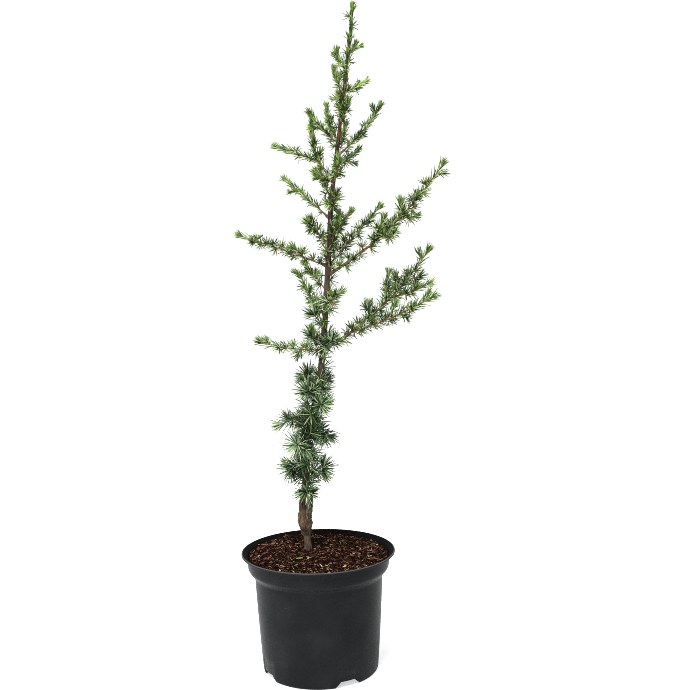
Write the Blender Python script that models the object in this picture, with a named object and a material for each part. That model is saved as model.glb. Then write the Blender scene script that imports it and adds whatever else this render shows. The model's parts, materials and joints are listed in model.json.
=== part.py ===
"""Young glauca cedar of Lebanon in a three litre nursery pot.

Lengths in the tables are millimetres and angles are degrees; MM turns millimetres into Blender's metres.
The origin is the centre of the pot's flat underside, +Z is up, and the plant is seen from -Y.
An azimuth of 0 points to +X (right), 90 to +Y (back), 180 to -X (left) and -90 to the front.
"""

import math
import random
from collections import namedtuple

import bmesh
import bpy
import numpy as np
from mathutils import Matrix, Vector

MM = 0.001
GAP = 0.35 * MM
SEED = 40

# Pot
POT_HEIGHT = 150.0
POT_SEGMENTS = 32
WALL = 1.5
FLOOR = 2.0
FOOT_CORNERS = ((68.5, 0.0), (71.2, 1.2), (72.0, 4.0))
BODY_SIDE = ((75.9, 59.0), (78.7, 107.0))
SHOULDER = ((79.8, 111.5), (86.3, 120.5), (87.5, 125.0))
BAND_TOP = (89.0, 147.2)
LIP = ((95.0, 147.6), (95.3, 148.8), (94.7, POT_HEIGHT))
LIP_INSIDE = (88.6, 148.6)
SHOULDER_DROP = 0.6

# Notches in the pot's foot
NOTCH_COUNT = 4
NOTCH_TURN = 28.5
NOTCH_HEIGHT = 8.0
NOTCH_FOOT_WIDTH = 34.0
NOTCH_TOP_WIDTH = 20.0
NOTCH_INNER_RADIUS = 50.0
DRAIN_RADIUS = 2.6
DRAIN_HEIGHT = 5.0
DRAIN_SIDES = 8

# Soil
SOIL_TOP = 141.0
SOIL_DOME = 2.5
SOIL_EDGE_DROP = 5.0
SOIL_SEAT_RADIUS = 22.0
SOIL_CLEAR = 0.6
SOIL_SEGMENTS = 24
SOIL_RINGS = (86.0, 74.0, 52.0, 34.0, 16.0)

# Trunk: (height, x, y) of its centre line, from the cut at the soil to the tip
TRUNK_SPINE = (
    (141.3, -13.0, 22.0),
    (181.0, -16.0, 20.0),
    (205.0, -19.0, 18.5),
    (238.0, -13.5, 16.0),
    (300.0, -7.5, 13.0),
    (355.0, 5.5, 10.5),
    (420.0, 13.8, 10.0),
    (502.0, 20.5, 10.0),
    (575.0, 26.0, 10.0),
    (641.0, 34.7, 10.0),
    (700.0, 43.2, 10.0),
    (803.0, 56.5, 10.0),
)
TRUNK_FOOT_RADIUS = 4.0
TRUNK_TIP_RADIUS = 0.7
TRUNK_TAPER = 2.4
ROOT_FLARE = 2.2
ROOT_FLARE_FADE = 6.0
GRAFT_HEIGHT = 180.0
GRAFT_SWELL = 5.4
GRAFT_REACH = 13.0
STUB_FOOT = (-14.0, 18.5, 178.0)
STUB_END = (-9.0, 15.5, 207.0)
STUB_RADII = (5.2, 3.9)
TRUNK_SIDES = 8
TRUNK_FINE_STEP = 6.0
TRUNK_STEP = 19.0

# Boughs
BOUGH_FOOT_RADIUS = 0.6
BOUGH_RADIUS_PER_LENGTH = 0.0108
BOUGH_SIDES = 6

# Shoots on the trunk. Height is where a shoot leaves the trunk, rise is its slope there, rise_end at its tip.
# Bare is the length of its bough before the needles start, or 0 for a shoot with needles from its foot.
Shoot = namedtuple("Shoot", "name height azimuth rise rise_end length bare needle")
SHOOTS = (
    Shoot("leader_tip", 803, 10, 85, 80, 6, 0, 8),
    Shoot("leader_left_upper", 735, 160, 45, 85, 21, 0, 9),
    Shoot("leader_left_lower", 711, 200, 45, 88, 21, 0, 10),
    Shoot("leader_right", 751, 5, 45, 70, 12, 0, 8),
    Shoot("top_right", 708, 15, 22, 32, 34, 0, 10),
    Shoot("top_back", 690, 100, 35, 55, 34, 0, 10),
    Shoot("top_front", 676, -72, 28, 42, 38, 0, 10),
    Shoot("upper_right", 633, -20, 34, 58, 82, 12, 10),
    Shoot("upper_left_inner", 652, 140, 50, 95, 46, 0, 9),
    Shoot("upper_left", 649, 205, 36, 54, 51, 0, 10),
    Shoot("upper_left_fork", 602, 168, 52, 98, 82, 14, 10),
    Shoot("upper_back", 640, 75, 30, 50, 58, 10, 10),
    Shoot("upper_right_back", 622, 42, 18, 42, 46, 0, 10),
    Shoot("upper_front", 603, -78, 20, 38, 46, 0, 11),
    Shoot("middle_left_short", 602, 208, 22, 32, 29, 0, 10),
    Shoot("middle_back", 582, 105, 25, 45, 72, 12, 10),
    Shoot("middle_front", 567, -80, 20, 32, 48, 0, 13),
    Shoot("middle_left", 558, 170, 44, 38, 73, 14, 10),
    Shoot("middle_right_back", 542, 50, 24, 42, 51, 0, 10),
    Shoot("middle_left_cluster", 527, 228, 40, 32, 46, 0, 12),
    Shoot("middle_right_small", 531, -35, 45, 85, 34, 0, 11),
    Shoot("back_long", 511, 82, 22, 42, 98, 14, 11),
    Shoot("left_long", 501, 192, 22, 18, 114, 15, 11),
    Shoot("right_long_upper", 500, 24, 46, 44, 100, 12, 11),
    Shoot("right_long", 490, -10, 30, 56, 194, 46, 12),
    Shoot("left_low", 470, 150, 50, 46, 43, 0, 11),
    Shoot("front_low", 452, -78, 12, 20, 62, 0, 13),
    Shoot("back_low", 441, 112, 18, 42, 100, 14, 12),
    Shoot("left_rosettes", 428, 165, 40, 75, 24, 0, 14),
    Shoot("left_front_low", 404, 232, 30, 42, 33, 0, 15),
    Shoot("right_low", 398, 12, 28, 56, 184, 40, 13),
    Shoot("front_lowest", 401, -70, 16, 26, 46, 0, 15),
    Shoot("left_lowest", 399, 188, 0, 20, 80, 0, 12),
    Shoot("rosette_left_high", 356, 160, 30, 50, 13, 0, 16),
    Shoot("rosette_back_high", 352, 80, 15, 25, 17, 0, 17),
    Shoot("rosette_front_left", 337, 238, 30, 50, 15, 0, 18),
    Shoot("rosette_front_right", 323, -60, 15, 40, 18, 0, 16),
    Shoot("lower_left", 315, 172, -6, -28, 46, 0, 16),
    Shoot("rosette_back_middle", 306, 108, 0, -10, 18, 0, 18),
    Shoot("lower_right_back", 299, 35, -15, -40, 38, 0, 17),
    Shoot("rosette_left_large", 287, 232, -5, -20, 17, 0, 20),
    Shoot("rosette_left_low", 259, 176, -15, -45, 18, 0, 19),
    Shoot("rosette_right_low", 244, 12, 15, 10, 17, 0, 18),
    Shoot("rosette_front_low", 231, -84, -20, -50, 11, 0, 18),
)

# One more shoot stands on the bough of right_low, at this share of the bough's length
LOW_FORK = Shoot("right_lower", 0.86, -32, 16, 28, 128, 0, 12)
LOW_FORK_PARENT = "right_low"

# Side shoots: place is the share of the parent's length at which they leave it
Side = namedtuple("Side", "parent place azimuth rise rise_end length needle")
SIDES = (
    Side("upper_left_fork", 0.42, 165, 26, 16, 68, 10),
    Side("middle_left_cluster", 0.35, 178, 55, 65, 26, 11),
    Side("left_long", 0.24, 215, 45, 30, 16, 12),
    Side("right_long", 0.32, -50, 48, 64, 42, 12),
    Side("right_long", 0.38, -62, 4, 8, 42, 13),
    Side("right_long", 0.44, 75, 12, 24, 40, 12),
    Side("right_long", 0.54, 60, 62, 84, 18, 12),
    Side("right_long", 0.56, 28, -6, 12, 28, 12),
    Side("right_long", 0.66, -70, 30, 40, 16, 11),
    Side("right_low", 0.34, -80, 62, 70, 14, 14),
    Side("right_low", 0.50, -20, 78, 88, 43, 12),
    Side("right_low", 0.56, -27, 10, 26, 60, 13),
    Side("right_low", 0.62, 92, 18, 40, 44, 12),
    Side("right_low", 0.72, -48, 2, 14, 20, 13),
    Side("right_lower", 0.40, 40, 40, 55, 18, 12),
    Side("right_lower", 0.66, -80, 10, 10, 16, 12),
)

# Twigs that a seeded rule adds along each shoot
TWIG_SPACING = 50.0
TWIG_LENGTH = (7.0, 12.0)
TWIG_SPLAY = (45.0, 65.0)
TWIG_TURN = 137.5
TWIG_CLEAR = 1.2
TWIG_COUNT_BIAS = 0.3
TWIG_PLACE = (0.3, 0.7)
TWIG_RADIUS = 0.77
TWIG_NEEDLE_SHARE = 0.85

# Needles stand on a slim core in whorls of NEEDLES, each turned against the one below it
NEEDLES = 5
WHORL_SPACING = 1.4
WHORL_HALF_DEPTH = 0.8
SPLAY_FOOT = 66.0
SPLAY_TIP = 27.0
LENGTH_JITTER = 0.16
SPLAY_JITTER = 7.0
SHORTENED = 0.55
FIRST_WHORL = 0.3
WHORL_TO_TIP = 1.1
CORE_FOOT_RADIUS = 0.9
CORE_TIP_RADIUS = 0.7
NEEDLE_ROOT_SHARE = 0.8
NEEDLE_ROOT_RADIUS = 0.8
SKIPPED_SHARE = 1.05

# Paths and clearances
PATH_STEP = 6.0
FOOT_STEP = 0.1 * MM
RIM_PLACES = 12
RODS = 8000
TINY = 1e-15


def direction(azimuth, rise):
    """Unit vector of an azimuth and a slope in degrees."""
    turn, slope = math.radians(azimuth), math.radians(rise)
    return Vector((math.cos(slope) * math.cos(turn), math.cos(slope) * math.sin(turn), math.sin(slope)))


def colour(hex_code):
    """Linear colour of an sRGB hex code."""
    parts = [int(hex_code[i:i + 2], 16) / 255 for i in (1, 3, 5)]
    linear = [c / 12.92 if c <= 0.04045 else ((c + 0.055) / 1.055) ** 2.4 for c in parts]
    return (*linear, 1.0)


def plain_material(name, hex_code, roughness):
    """Principled material of one colour."""
    made = bpy.data.materials.new(name)
    made.use_nodes = True
    shader = made.node_tree.nodes["Principled BSDF"]
    shader.inputs["Base Color"].default_value = colour(hex_code)
    shader.inputs["Roughness"].default_value = roughness
    return made


def add_object(name, bm, material=None, smooth_angle=35.0):
    """Turns a bmesh into a named object in the scene."""
    bmesh.ops.recalc_face_normals(bm, faces=bm.faces)
    mesh = bpy.data.meshes.new(name)
    bm.to_mesh(mesh)
    bm.free()
    mesh.shade_smooth()
    mesh.set_sharp_from_angle(angle=math.radians(smooth_angle))
    if material:
        mesh.materials.append(material)
    made = bpy.data.objects.new(name, mesh)
    bpy.context.scene.collection.objects.link(made)
    return made


def as_tool(tool):
    """Marks an object as a cutter or guide, which isn't part of the plant."""
    tool.hide_render = True
    tool.display_type = "WIRE"
    return tool


def boolean(target, operation, operand):
    """Adds a Boolean modifier whose operand is one object."""
    step = target.modifiers.new(operation.lower(), "BOOLEAN")
    step.operation = operation
    step.solver = "EXACT"
    step.object = operand


def add_ring(bm, spots):
    """New vertices at a list of places in metres."""
    return [bm.verts.new(spot) for spot in spots]


def bridge(bm, low, high):
    """Band of faces between two rings with the same count."""
    for k, vert in enumerate(low):
        after = (k + 1) % len(low)
        bm.faces.new((vert, low[after], high[after], high[k]))


def fan(bm, ring, centre):
    """Closes a ring with triangles to one point."""
    tip = bm.verts.new(centre)
    for k, vert in enumerate(ring):
        bm.faces.new((vert, ring[(k + 1) % len(ring)], tip))


def level_circle(x, y, z, radius, count):
    """Places round a level circle, given in millimetres and returned in metres."""
    turns = [math.tau * k / count for k in range(count)]
    return [Vector((x + radius * math.cos(a), y + radius * math.sin(a), z)) * MM for a in turns]


# Pot and soil


def turned(outline, segments):
    """Solid of revolution of an outline of (radius, height) that starts and ends on the axis."""
    bm = bmesh.new()
    verts = [bm.verts.new((radius * MM, 0.0, height * MM)) for radius, height in outline]
    edges = [bm.edges.new(pair) for pair in zip(verts, verts[1:])]
    bmesh.ops.spin(
        bm, geom=verts + edges, axis=(0, 0, 1), cent=(0, 0, 0), steps=segments,
        angle=math.tau, use_merge=True,
    )
    bmesh.ops.remove_doubles(bm, verts=bm.verts, dist=0.01 * MM)
    return bm


def outer_outline():
    """Section of the pot's outside, from the middle of its underside to the middle of its top."""
    return [(0.0, 0.0), *FOOT_CORNERS, *BODY_SIDE, *SHOULDER, BAND_TOP, *LIP, (0.0, POT_HEIGHT)]


def inner_side(clear):
    """Section of the pot's inside from the floor up to the band, moved inwards by a clearance."""
    inset = WALL + clear
    corner = (FOOT_CORNERS[-1][0] - inset, FLOOR + FOOT_CORNERS[-1][1] + clear)
    floor = [(FOOT_CORNERS[0][0] - inset, FLOOR + clear), corner]
    body = [(radius - inset, height) for radius, height in BODY_SIDE]
    shoulder = [(radius - inset, height - SHOULDER_DROP + clear) for radius, height in SHOULDER]
    return floor + body + shoulder


def notch_shapes(grow):
    """Channels with slanted sides that run outwards through the foot, one for each notch."""
    bm = bmesh.new()
    slant = (NOTCH_FOOT_WIDTH - NOTCH_TOP_WIDTH) / 2 / NOTCH_HEIGHT
    foot, top = -NOTCH_HEIGHT, NOTCH_HEIGHT + grow
    sideways = NOTCH_FOOT_WIDTH / 2 + grow * math.hypot(1.0, slant)
    low, high = sideways - slant * foot, sideways - slant * top
    section = ((-low, foot), (low, foot), (high, top), (-high, top))
    for index in range(NOTCH_COUNT):
        turn = Matrix.Rotation(math.radians(NOTCH_TURN + index * 360 / NOTCH_COUNT), 4, "Z")
        near = add_ring(bm, [turn @ Vector((NOTCH_INNER_RADIUS - grow, y, z)) * MM for y, z in section])
        far = add_ring(bm, [turn @ Vector((BAND_TOP[0], y, z)) * MM for y, z in section])
        bm.faces.new(near)
        bm.faces.new(far)
        bridge(bm, near, far)
    return bm


def drain_shapes():
    """Round drain holes through the inner end of each notch."""
    bm = bmesh.new()
    lay = Matrix.Rotation(math.pi / 2, 4, "Y")
    place = Matrix.Translation(Vector((NOTCH_INNER_RADIUS, 0, DRAIN_HEIGHT)) * MM)
    for index in range(NOTCH_COUNT):
        turn = Matrix.Rotation(math.radians(NOTCH_TURN + index * 360 / NOTCH_COUNT), 4, "Z")
        bmesh.ops.create_cone(
            bm, cap_ends=True, segments=DRAIN_SIDES, radius1=DRAIN_RADIUS * MM, radius2=DRAIN_RADIUS * MM,
            depth=3 * WALL * MM, matrix=turn @ place @ lay,
        )
    return bm


def make_pot():
    """Thin walled pot with a flanged lip, a stepped band and notched feet with drain holes."""
    plastic = plain_material("pot_polypropylene", "#2b2d2e", 0.5)
    pot = add_object("pot", turned(outer_outline(), POT_SEGMENTS), plastic)
    above = POT_HEIGHT + NOTCH_HEIGHT
    mouth = [(BAND_TOP[0] - WALL, BAND_TOP[1]), LIP_INSIDE, (LIP_INSIDE[0], above)]
    room_outline = [(0.0, FLOOR), *inner_side(0.0), *mouth, (0.0, above)]
    room = as_tool(add_object("pot_room", turned(room_outline, POT_SEGMENTS)))
    boolean(room, "DIFFERENCE", as_tool(add_object("notch_hoods", notch_shapes(WALL))))
    boolean(pot, "DIFFERENCE", room)
    boolean(pot, "DIFFERENCE", as_tool(add_object("notch_cutters", notch_shapes(0.0))))
    boolean(pot, "DIFFERENCE", as_tool(add_object("drain_cutters", drain_shapes())))


def soil_height(x, y):
    """Height of the soil's uneven, slightly domed top, level round the trunk's foot."""
    turn = math.atan2(y, x)
    share = math.hypot(x, y) / SOIL_RINGS[0]
    waves = 1.3 * math.sin(turn - 0.6) + 0.9 * math.sin(3 * turn + 1.1) + 0.5 * math.sin(7 * turn)
    height = SOIL_TOP + SOIL_DOME + share * waves - SOIL_EDGE_DROP * share ** 2
    _, foot_x, foot_y = TRUNK_SPINE[0]
    away = math.hypot(x - foot_x, y - foot_y) / SOIL_SEAT_RADIUS - 1.0
    blend = min(max(away, 0.0), 1.0)
    return SOIL_TOP + (height - SOIL_TOP) * blend


def make_soil():
    """Peat and bark that fills the pot, clear of its wall and of the notches' hoods."""
    peat = plain_material("soil_peat", "#3b241a", 0.95)
    bm = bmesh.new()
    side = inner_side(SOIL_CLEAR)
    rings = [add_ring(bm, level_circle(0, 0, height, radius, SOIL_SEGMENTS)) for radius, height in side]
    for radius in SOIL_RINGS:
        flat = level_circle(0, 0, 0, radius, SOIL_SEGMENTS)
        rings.append(add_ring(bm, [Vector((v.x, v.y, soil_height(v.x / MM, v.y / MM) * MM)) for v in flat]))
    for low, high in zip(rings, rings[1:]):
        bridge(bm, low, high)
    bm.faces.new(rings[0])
    fan(bm, rings[-1], (0, 0, soil_height(0, 0) * MM))
    soil = add_object("soil", bm, peat)
    boolean(soil, "DIFFERENCE", as_tool(add_object("soil_cutters", notch_shapes(WALL + SOIL_CLEAR))))


# Trunk


def spine_value(height, column):
    """Smooth x (column 1) or y (column 2) of the trunk's centre line at a height."""
    rows = TRUNK_SPINE
    last = len(rows) - 2
    at = next((i for i in range(last) if height < rows[i + 1][0]), last)
    slopes = []
    for i in (at, at + 1):
        before, after = rows[max(i - 1, 0)], rows[min(i + 1, last + 1)]
        slopes.append((after[column] - before[column]) / (after[0] - before[0]))
    low, high = rows[at], rows[at + 1]
    span = high[0] - low[0]
    t = (height - low[0]) / span
    return (
        (2 * t ** 3 - 3 * t ** 2 + 1) * low[column] + (t ** 3 - 2 * t ** 2 + t) * span * slopes[0]
        + (3 * t ** 2 - 2 * t ** 3) * high[column] + (t ** 3 - t ** 2) * span * slopes[1]
    )


def trunk_centre(height):
    """Trunk's centre in metres at a height in millimetres."""
    return Vector((spine_value(height, 1), spine_value(height, 2), height)) * MM


def trunk_radius(height):
    """Trunk's radius in millimetres: its taper, the flare at the soil and the swelling of the graft."""
    low, high = TRUNK_SPINE[0][0], TRUNK_SPINE[-1][0]
    share = (height - low) / (high - low)
    taper = TRUNK_TIP_RADIUS + (TRUNK_FOOT_RADIUS - TRUNK_TIP_RADIUS) * (1 - share ** TRUNK_TAPER)
    flare = ROOT_FLARE * math.exp((low - height) / ROOT_FLARE_FADE)
    swell = GRAFT_SWELL * math.exp(-((height - GRAFT_HEIGHT) / GRAFT_REACH) ** 2)
    return taper + flare + swell


def trunk_heights():
    """Heights of the trunk's rings, closer together round the graft."""
    low, high = TRUNK_SPINE[0][0], TRUNK_SPINE[-1][0]
    graft_top = GRAFT_HEIGHT + 3 * GRAFT_REACH
    fine = round((graft_top - low) / TRUNK_FINE_STEP)
    coarse = round((high - graft_top) / TRUNK_STEP)
    return [*np.linspace(low, graft_top, fine)[:-1], *np.linspace(graft_top, high, coarse)]


def make_trunk():
    """Leaning trunk from a flat cut at the soil to the leader's tip, with the graft and its pruned stub."""
    bark = plain_material("trunk_bark", "#5b4636", 0.85)
    bm = bmesh.new()
    rings = []
    for height in trunk_heights():
        x, y = spine_value(height, 1), spine_value(height, 2)
        rings.append(add_ring(bm, level_circle(x, y, height, trunk_radius(height), TRUNK_SIDES)))
    for low, high in zip(rings, rings[1:]):
        bridge(bm, low, high)
    bm.faces.new(rings[0])
    bm.faces.new(rings[-1])
    trunk = add_object("trunk", bm, bark, smooth_angle=60)
    stub_path = [Vector(STUB_FOOT) * MM, Vector(STUB_END) * MM]
    stub = limb_solid(stub_path, [radius * MM for radius in STUB_RADII], TRUNK_SIDES)
    boolean(trunk, "UNION", as_tool(add_object("stub_guide", stub)))


# Paths


def walk(start, azimuth, rise, rise_end, length):
    """Points in metres along a shoot whose slope turns evenly from rise to rise_end."""
    steps = max(2, round(length / PATH_STEP))
    points = [start.copy()]
    for index in range(steps):
        slope = rise + (rise_end - rise) * (index + 0.5) / steps
        points.append(points[-1] + direction(azimuth, slope) * (length * MM / steps))
    return points


def path_length(points):
    return sum((b - a).length for a, b in zip(points, points[1:]))


def place_along(points, distance):
    """Point and heading at a distance along a path."""
    for a, b in zip(points, points[1:]):
        step = (b - a).length
        if distance <= step or b is points[-1]:
            heading = (b - a).normalized()
            return a + heading * distance, heading
        distance -= step


def stretch(points, start, end):
    """Part of a path between two distances from its foot."""
    count = max(2, round((end - start) / (PATH_STEP * MM)) + 1)
    return [place_along(points, d)[0] for d in np.linspace(start, end, count)]


def across(heading, hint):
    """Two unit vectors across a heading, the first as near the hint as it can be."""
    side = (hint - heading * hint.dot(heading)).normalized()
    return side, heading.cross(side)


def first_hint(heading):
    """A direction that isn't along the heading."""
    return Vector((0, 0, 1)) if abs(heading.z) < 0.9 else Vector((1, 0, 0))


def circle(centre, side, up, radius, count, turn=0.0):
    """Places round a circle across a path."""
    turns = [turn + math.tau * k / count for k in range(count)]
    return [centre + (side * math.cos(a) + up * math.sin(a)) * radius for a in turns]


def limb_solid(points, radii, sides):
    """Closed tube along a path that tapers evenly between two radii."""
    bm = bmesh.new()
    length = path_length(points)
    hint = first_hint((points[1] - points[0]).normalized())
    rings = []
    for distance in np.linspace(0, length, max(2, len(points))):
        centre, heading = place_along(points, distance)
        side, up = across(heading, hint)
        hint = side
        radius = radii[0] + (radii[1] - radii[0]) * distance / length
        rings.append(add_ring(bm, circle(centre, side, up, radius, sides)))
    for low, high in zip(rings, rings[1:]):
        bridge(bm, low, high)
    bm.faces.new(rings[0])
    bm.faces.new(rings[-1])
    return bm


# Space that limbs, stems and needles hold


class Space:
    """Round-ended rods that are taken, each with the name of the node that holds it."""

    def __init__(self):
        self.count = 0
        self.starts = np.zeros((RODS, 3))
        self.ends = np.zeros((RODS, 3))
        self.radii = np.zeros(RODS)
        self.owners = np.zeros(RODS, dtype=int)
        self.names = {}

    def number(self, owner):
        return self.names.setdefault(owner, len(self.names))

    def take(self, owner, points, radii):
        """Takes the rods along a path; radii has one value for each point."""
        for k, (a, b) in enumerate(zip(points, points[1:])):
            self.starts[self.count] = a
            self.ends[self.count] = b
            self.radii[self.count] = max(radii[k], radii[k + 1])
            self.owners[self.count] = self.number(owner)
            self.count += 1

    def gap(self, owner, start, end):
        """Clear distance from a straight rod without thickness to what other nodes hold."""
        others = self.owners[:self.count] != self.number(owner)
        starts, ends = self.starts[:self.count][others], self.ends[:self.count][others]
        if not len(starts):
            return math.inf
        apart = rod_distances(np.array(start), np.array(end), starts, ends)
        return float((apart - self.radii[:self.count][others]).min())


def rod_distances(start, end, starts, ends):
    """Distances between one straight segment and many others."""
    mine, theirs, between = end - start, ends - starts, start - starts
    a = max(mine @ mine, TINY)
    e = np.maximum((theirs * theirs).sum(1), TINY)
    b, c, f = theirs @ mine, between @ mine, (theirs * between).sum(1)
    slant = a * e - b * b
    s = np.clip(np.where(slant > TINY, (b * f - c * e) / np.maximum(slant, TINY), 0.0), 0.0, 1.0)
    t = np.clip((b * s + f) / e, 0.0, 1.0)
    s = np.clip((b * t - c) / a, 0.0, 1.0)
    return np.linalg.norm(between + np.outer(s, mine) - theirs * t[:, None], axis=1)


def clear_foot(space, owner, centre, heading, radius):
    """Nearest place out from a limb's centre where a round foot leaves GAP to that limb."""
    side, up = across(heading, first_hint(heading))
    foot = centre
    while min(space.gap(owner, spot, spot) for spot in circle(foot, side, up, radius, RIM_PLACES)) < GAP:
        foot = foot + heading * FOOT_STEP
    return foot


# Needles


def splay_at(share, rng):
    """Angle between a needle and its shoot, wide at the foot and narrow at the tip."""
    even = SPLAY_FOOT + (SPLAY_TIP - SPLAY_FOOT) * share
    return math.radians(even + rng.uniform(-SPLAY_JITTER, SPLAY_JITTER))


def needle_tip(space, owner, centre, heading, outward, core, length, splay):
    """Tip of one needle, shortened or laid flat on the core where it would touch another node."""
    root = centre + outward * core * NEEDLE_ROOT_SHARE
    lean = outward * math.sin(splay) + heading * math.cos(splay)
    for share in (1.0, SHORTENED):
        tip = root + lean * length * share
        if space.gap(owner, root, tip) > GAP + NEEDLE_ROOT_RADIUS * MM:
            space.take(owner, [root, tip], [NEEDLE_ROOT_RADIUS * MM, 0.0])
            return tip
    return centre + outward * core * SKIPPED_SHARE


def whorl_places(length, needle):
    """Distances of the whorls from a shoot's foot, the last close to its tip."""
    first, last = FIRST_WHORL * needle, length / MM - WHORL_TO_TIP
    count = round((last - first) / (WHORL_SPACING * needle)) + 1
    return [d * MM for d in (np.linspace(first, last, count) if count > 1 else [last])]


def spray_solid(space, owner, points, foot_radius, needle, rng):
    """Closed solid of a slim tapering core with whorls of needles along a path."""
    bm = bmesh.new()
    length = path_length(points)
    half = WHORL_HALF_DEPTH * MM
    step = math.tau / NEEDLES
    centre, heading = place_along(points, 0.0)
    hint, _ = across(heading, first_hint(heading))
    turn = rng.uniform(0, step)
    ring = add_ring(bm, circle(centre, *across(heading, hint), foot_radius, NEEDLES, turn))
    bm.faces.new(ring)
    for distance in whorl_places(length, needle):
        share = distance / length
        core = foot_radius + (CORE_TIP_RADIUS * MM - foot_radius) * share
        centre, heading = place_along(points, distance)
        side, up = across(heading, hint)
        hint = side
        turn += step / 2
        before = add_ring(bm, circle(centre - heading * half, side, up, core, NEEDLES, turn))
        after = add_ring(bm, circle(centre + heading * half, side, up, core, NEEDLES, turn))
        bridge(bm, ring, before)
        for k in range(NEEDLES):
            angle = turn + (k + 0.5) * step
            outward = side * math.cos(angle) + up * math.sin(angle)
            size = needle * MM * (1 + rng.uniform(-LENGTH_JITTER, LENGTH_JITTER))
            spot = needle_tip(space, owner, centre, heading, outward, core, size, splay_at(share, rng))
            tip = bm.verts.new(spot)
            n = (k + 1) % NEEDLES
            corners = (before[k], before[n], after[n], after[k])
            for low, high in zip(corners, corners[1:] + corners[:1]):
                bm.faces.new((low, high, tip))
        ring = after
    fan(bm, ring, centre + heading * (half + CORE_TIP_RADIUS * MM))
    bmesh.ops.triangulate(bm, faces=bm.faces)
    return bm


def seeded_twigs(space, owner, points, needle, rng):
    """Short twigs that branch off a shoot by a seeded rule, where they stay clear of other nodes."""
    length = path_length(points)
    count = round(length / (TWIG_SPACING * MM) + TWIG_COUNT_BIAS)
    turn = rng.uniform(0, 360)
    twigs = []
    for index in range(count):
        share = (index + rng.uniform(*TWIG_PLACE)) / count
        foot, heading = place_along(points, share * length)
        side, up = across(heading, first_hint(heading))
        turn += TWIG_TURN
        outward = side * math.cos(math.radians(turn)) + up * math.sin(math.radians(turn))
        splay = math.radians(rng.uniform(*TWIG_SPLAY))
        reach = (heading * math.cos(splay) + outward * math.sin(splay)) * rng.uniform(*TWIG_LENGTH) * MM
        if space.gap(owner, foot, foot + reach) > TWIG_CLEAR * MM:
            twigs.append([foot, foot + reach])
    return twigs


def shells(bm):
    """Faces of a mesh in groups that hang together."""
    left = set(bm.faces)
    while left:
        group = [left.pop()]
        for face in group:
            for edge in face.edges:
                for other in edge.link_faces:
                    if other in left:
                        left.remove(other)
                        group.append(other)
        yield group


def keep_largest_shell(mesh):
    """Drops loose scraps, and fills sealed hollows by dropping their walls."""
    bm = bmesh.new()
    bm.from_mesh(mesh)
    smaller = sorted(shells(bm), key=len)[:-1]
    bmesh.ops.delete(bm, geom=[face for group in smaller for face in group], context="FACES")
    bm.to_mesh(mesh)
    bm.free()


def join_mass(name, solids, material):
    """One solid from a mass's sprays, by a Boolean union on a collection that is then removed."""
    stem = add_object(name, solids[0], material, smooth_angle=20)
    if len(solids) == 1:
        return
    group = bpy.data.collections.new(name + "_sprays")
    bpy.context.scene.collection.children.link(group)
    for solid in solids[1:]:
        spray = add_object(name + "_spray", solid)
        bpy.context.scene.collection.objects.unlink(spray)
        group.objects.link(spray)
    step = stem.modifiers.new("union", "BOOLEAN")
    step.operation = "UNION"
    step.solver = "EXACT"
    step.operand_type = "COLLECTION"
    step.collection = group
    bpy.context.view_layer.update()
    joined = bpy.data.meshes.new_from_object(stem.evaluated_get(bpy.context.evaluated_depsgraph_get()))
    stem.modifiers.clear()
    keep_largest_shell(joined)
    stem.data = joined
    for spray in list(group.objects):
        bpy.data.objects.remove(spray)
    bpy.data.collections.remove(group)


# Plant


def core_radius(length, share):
    """Radius of a shoot's wood at a share of its length, in metres."""
    foot = max(BOUGH_FOOT_RADIUS + BOUGH_RADIUS_PER_LENGTH * length, CORE_FOOT_RADIUS) * MM
    return foot + (CORE_TIP_RADIUS * MM - foot) * share


def place_shoots(space):
    """Path of every shoot on the trunk, and of the fork on its parent's bough, with the space they hold."""
    heights = trunk_heights()
    space.take("trunk", [trunk_centre(h) for h in heights], [trunk_radius(h) * MM for h in heights])
    space.take("trunk", [Vector(STUB_FOOT) * MM, Vector(STUB_END) * MM], [r * MM for r in STUB_RADII])
    paths = {}
    for shoot in SHOOTS:
        heading = direction(shoot.azimuth, shoot.rise)
        centre = trunk_centre(shoot.height)
        radius = core_radius(shoot.length, 0)
        foot = clear_foot(space, shoot.name, centre, heading, radius)
        paths[shoot.name] = walk(foot, *shoot[2:6])
    parent = next(s for s in SHOOTS if s.name == LOW_FORK_PARENT)
    bough = stretch(paths[parent.name], 0, parent.bare * MM)
    limb = Space()
    ends = np.linspace(0, parent.bare / parent.length, len(bough))
    limb.take("bough", bough, [core_radius(parent.length, share) for share in ends])
    centre, _ = place_along(bough, LOW_FORK.height * parent.bare * MM)
    heading = direction(LOW_FORK.azimuth, LOW_FORK.rise)
    foot = clear_foot(limb, LOW_FORK.name, centre, heading, core_radius(LOW_FORK.length, 0))
    paths[LOW_FORK.name] = walk(foot, *LOW_FORK[2:6])
    return paths


def split_path(shoot, path):
    """The bough's path and the stem's path, which starts a gap beyond the bough's tip."""
    length = path_length(path)
    if not shoot.bare:
        return None, path
    return stretch(path, 0, shoot.bare * MM), stretch(path, shoot.bare * MM + GAP, length)


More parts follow.
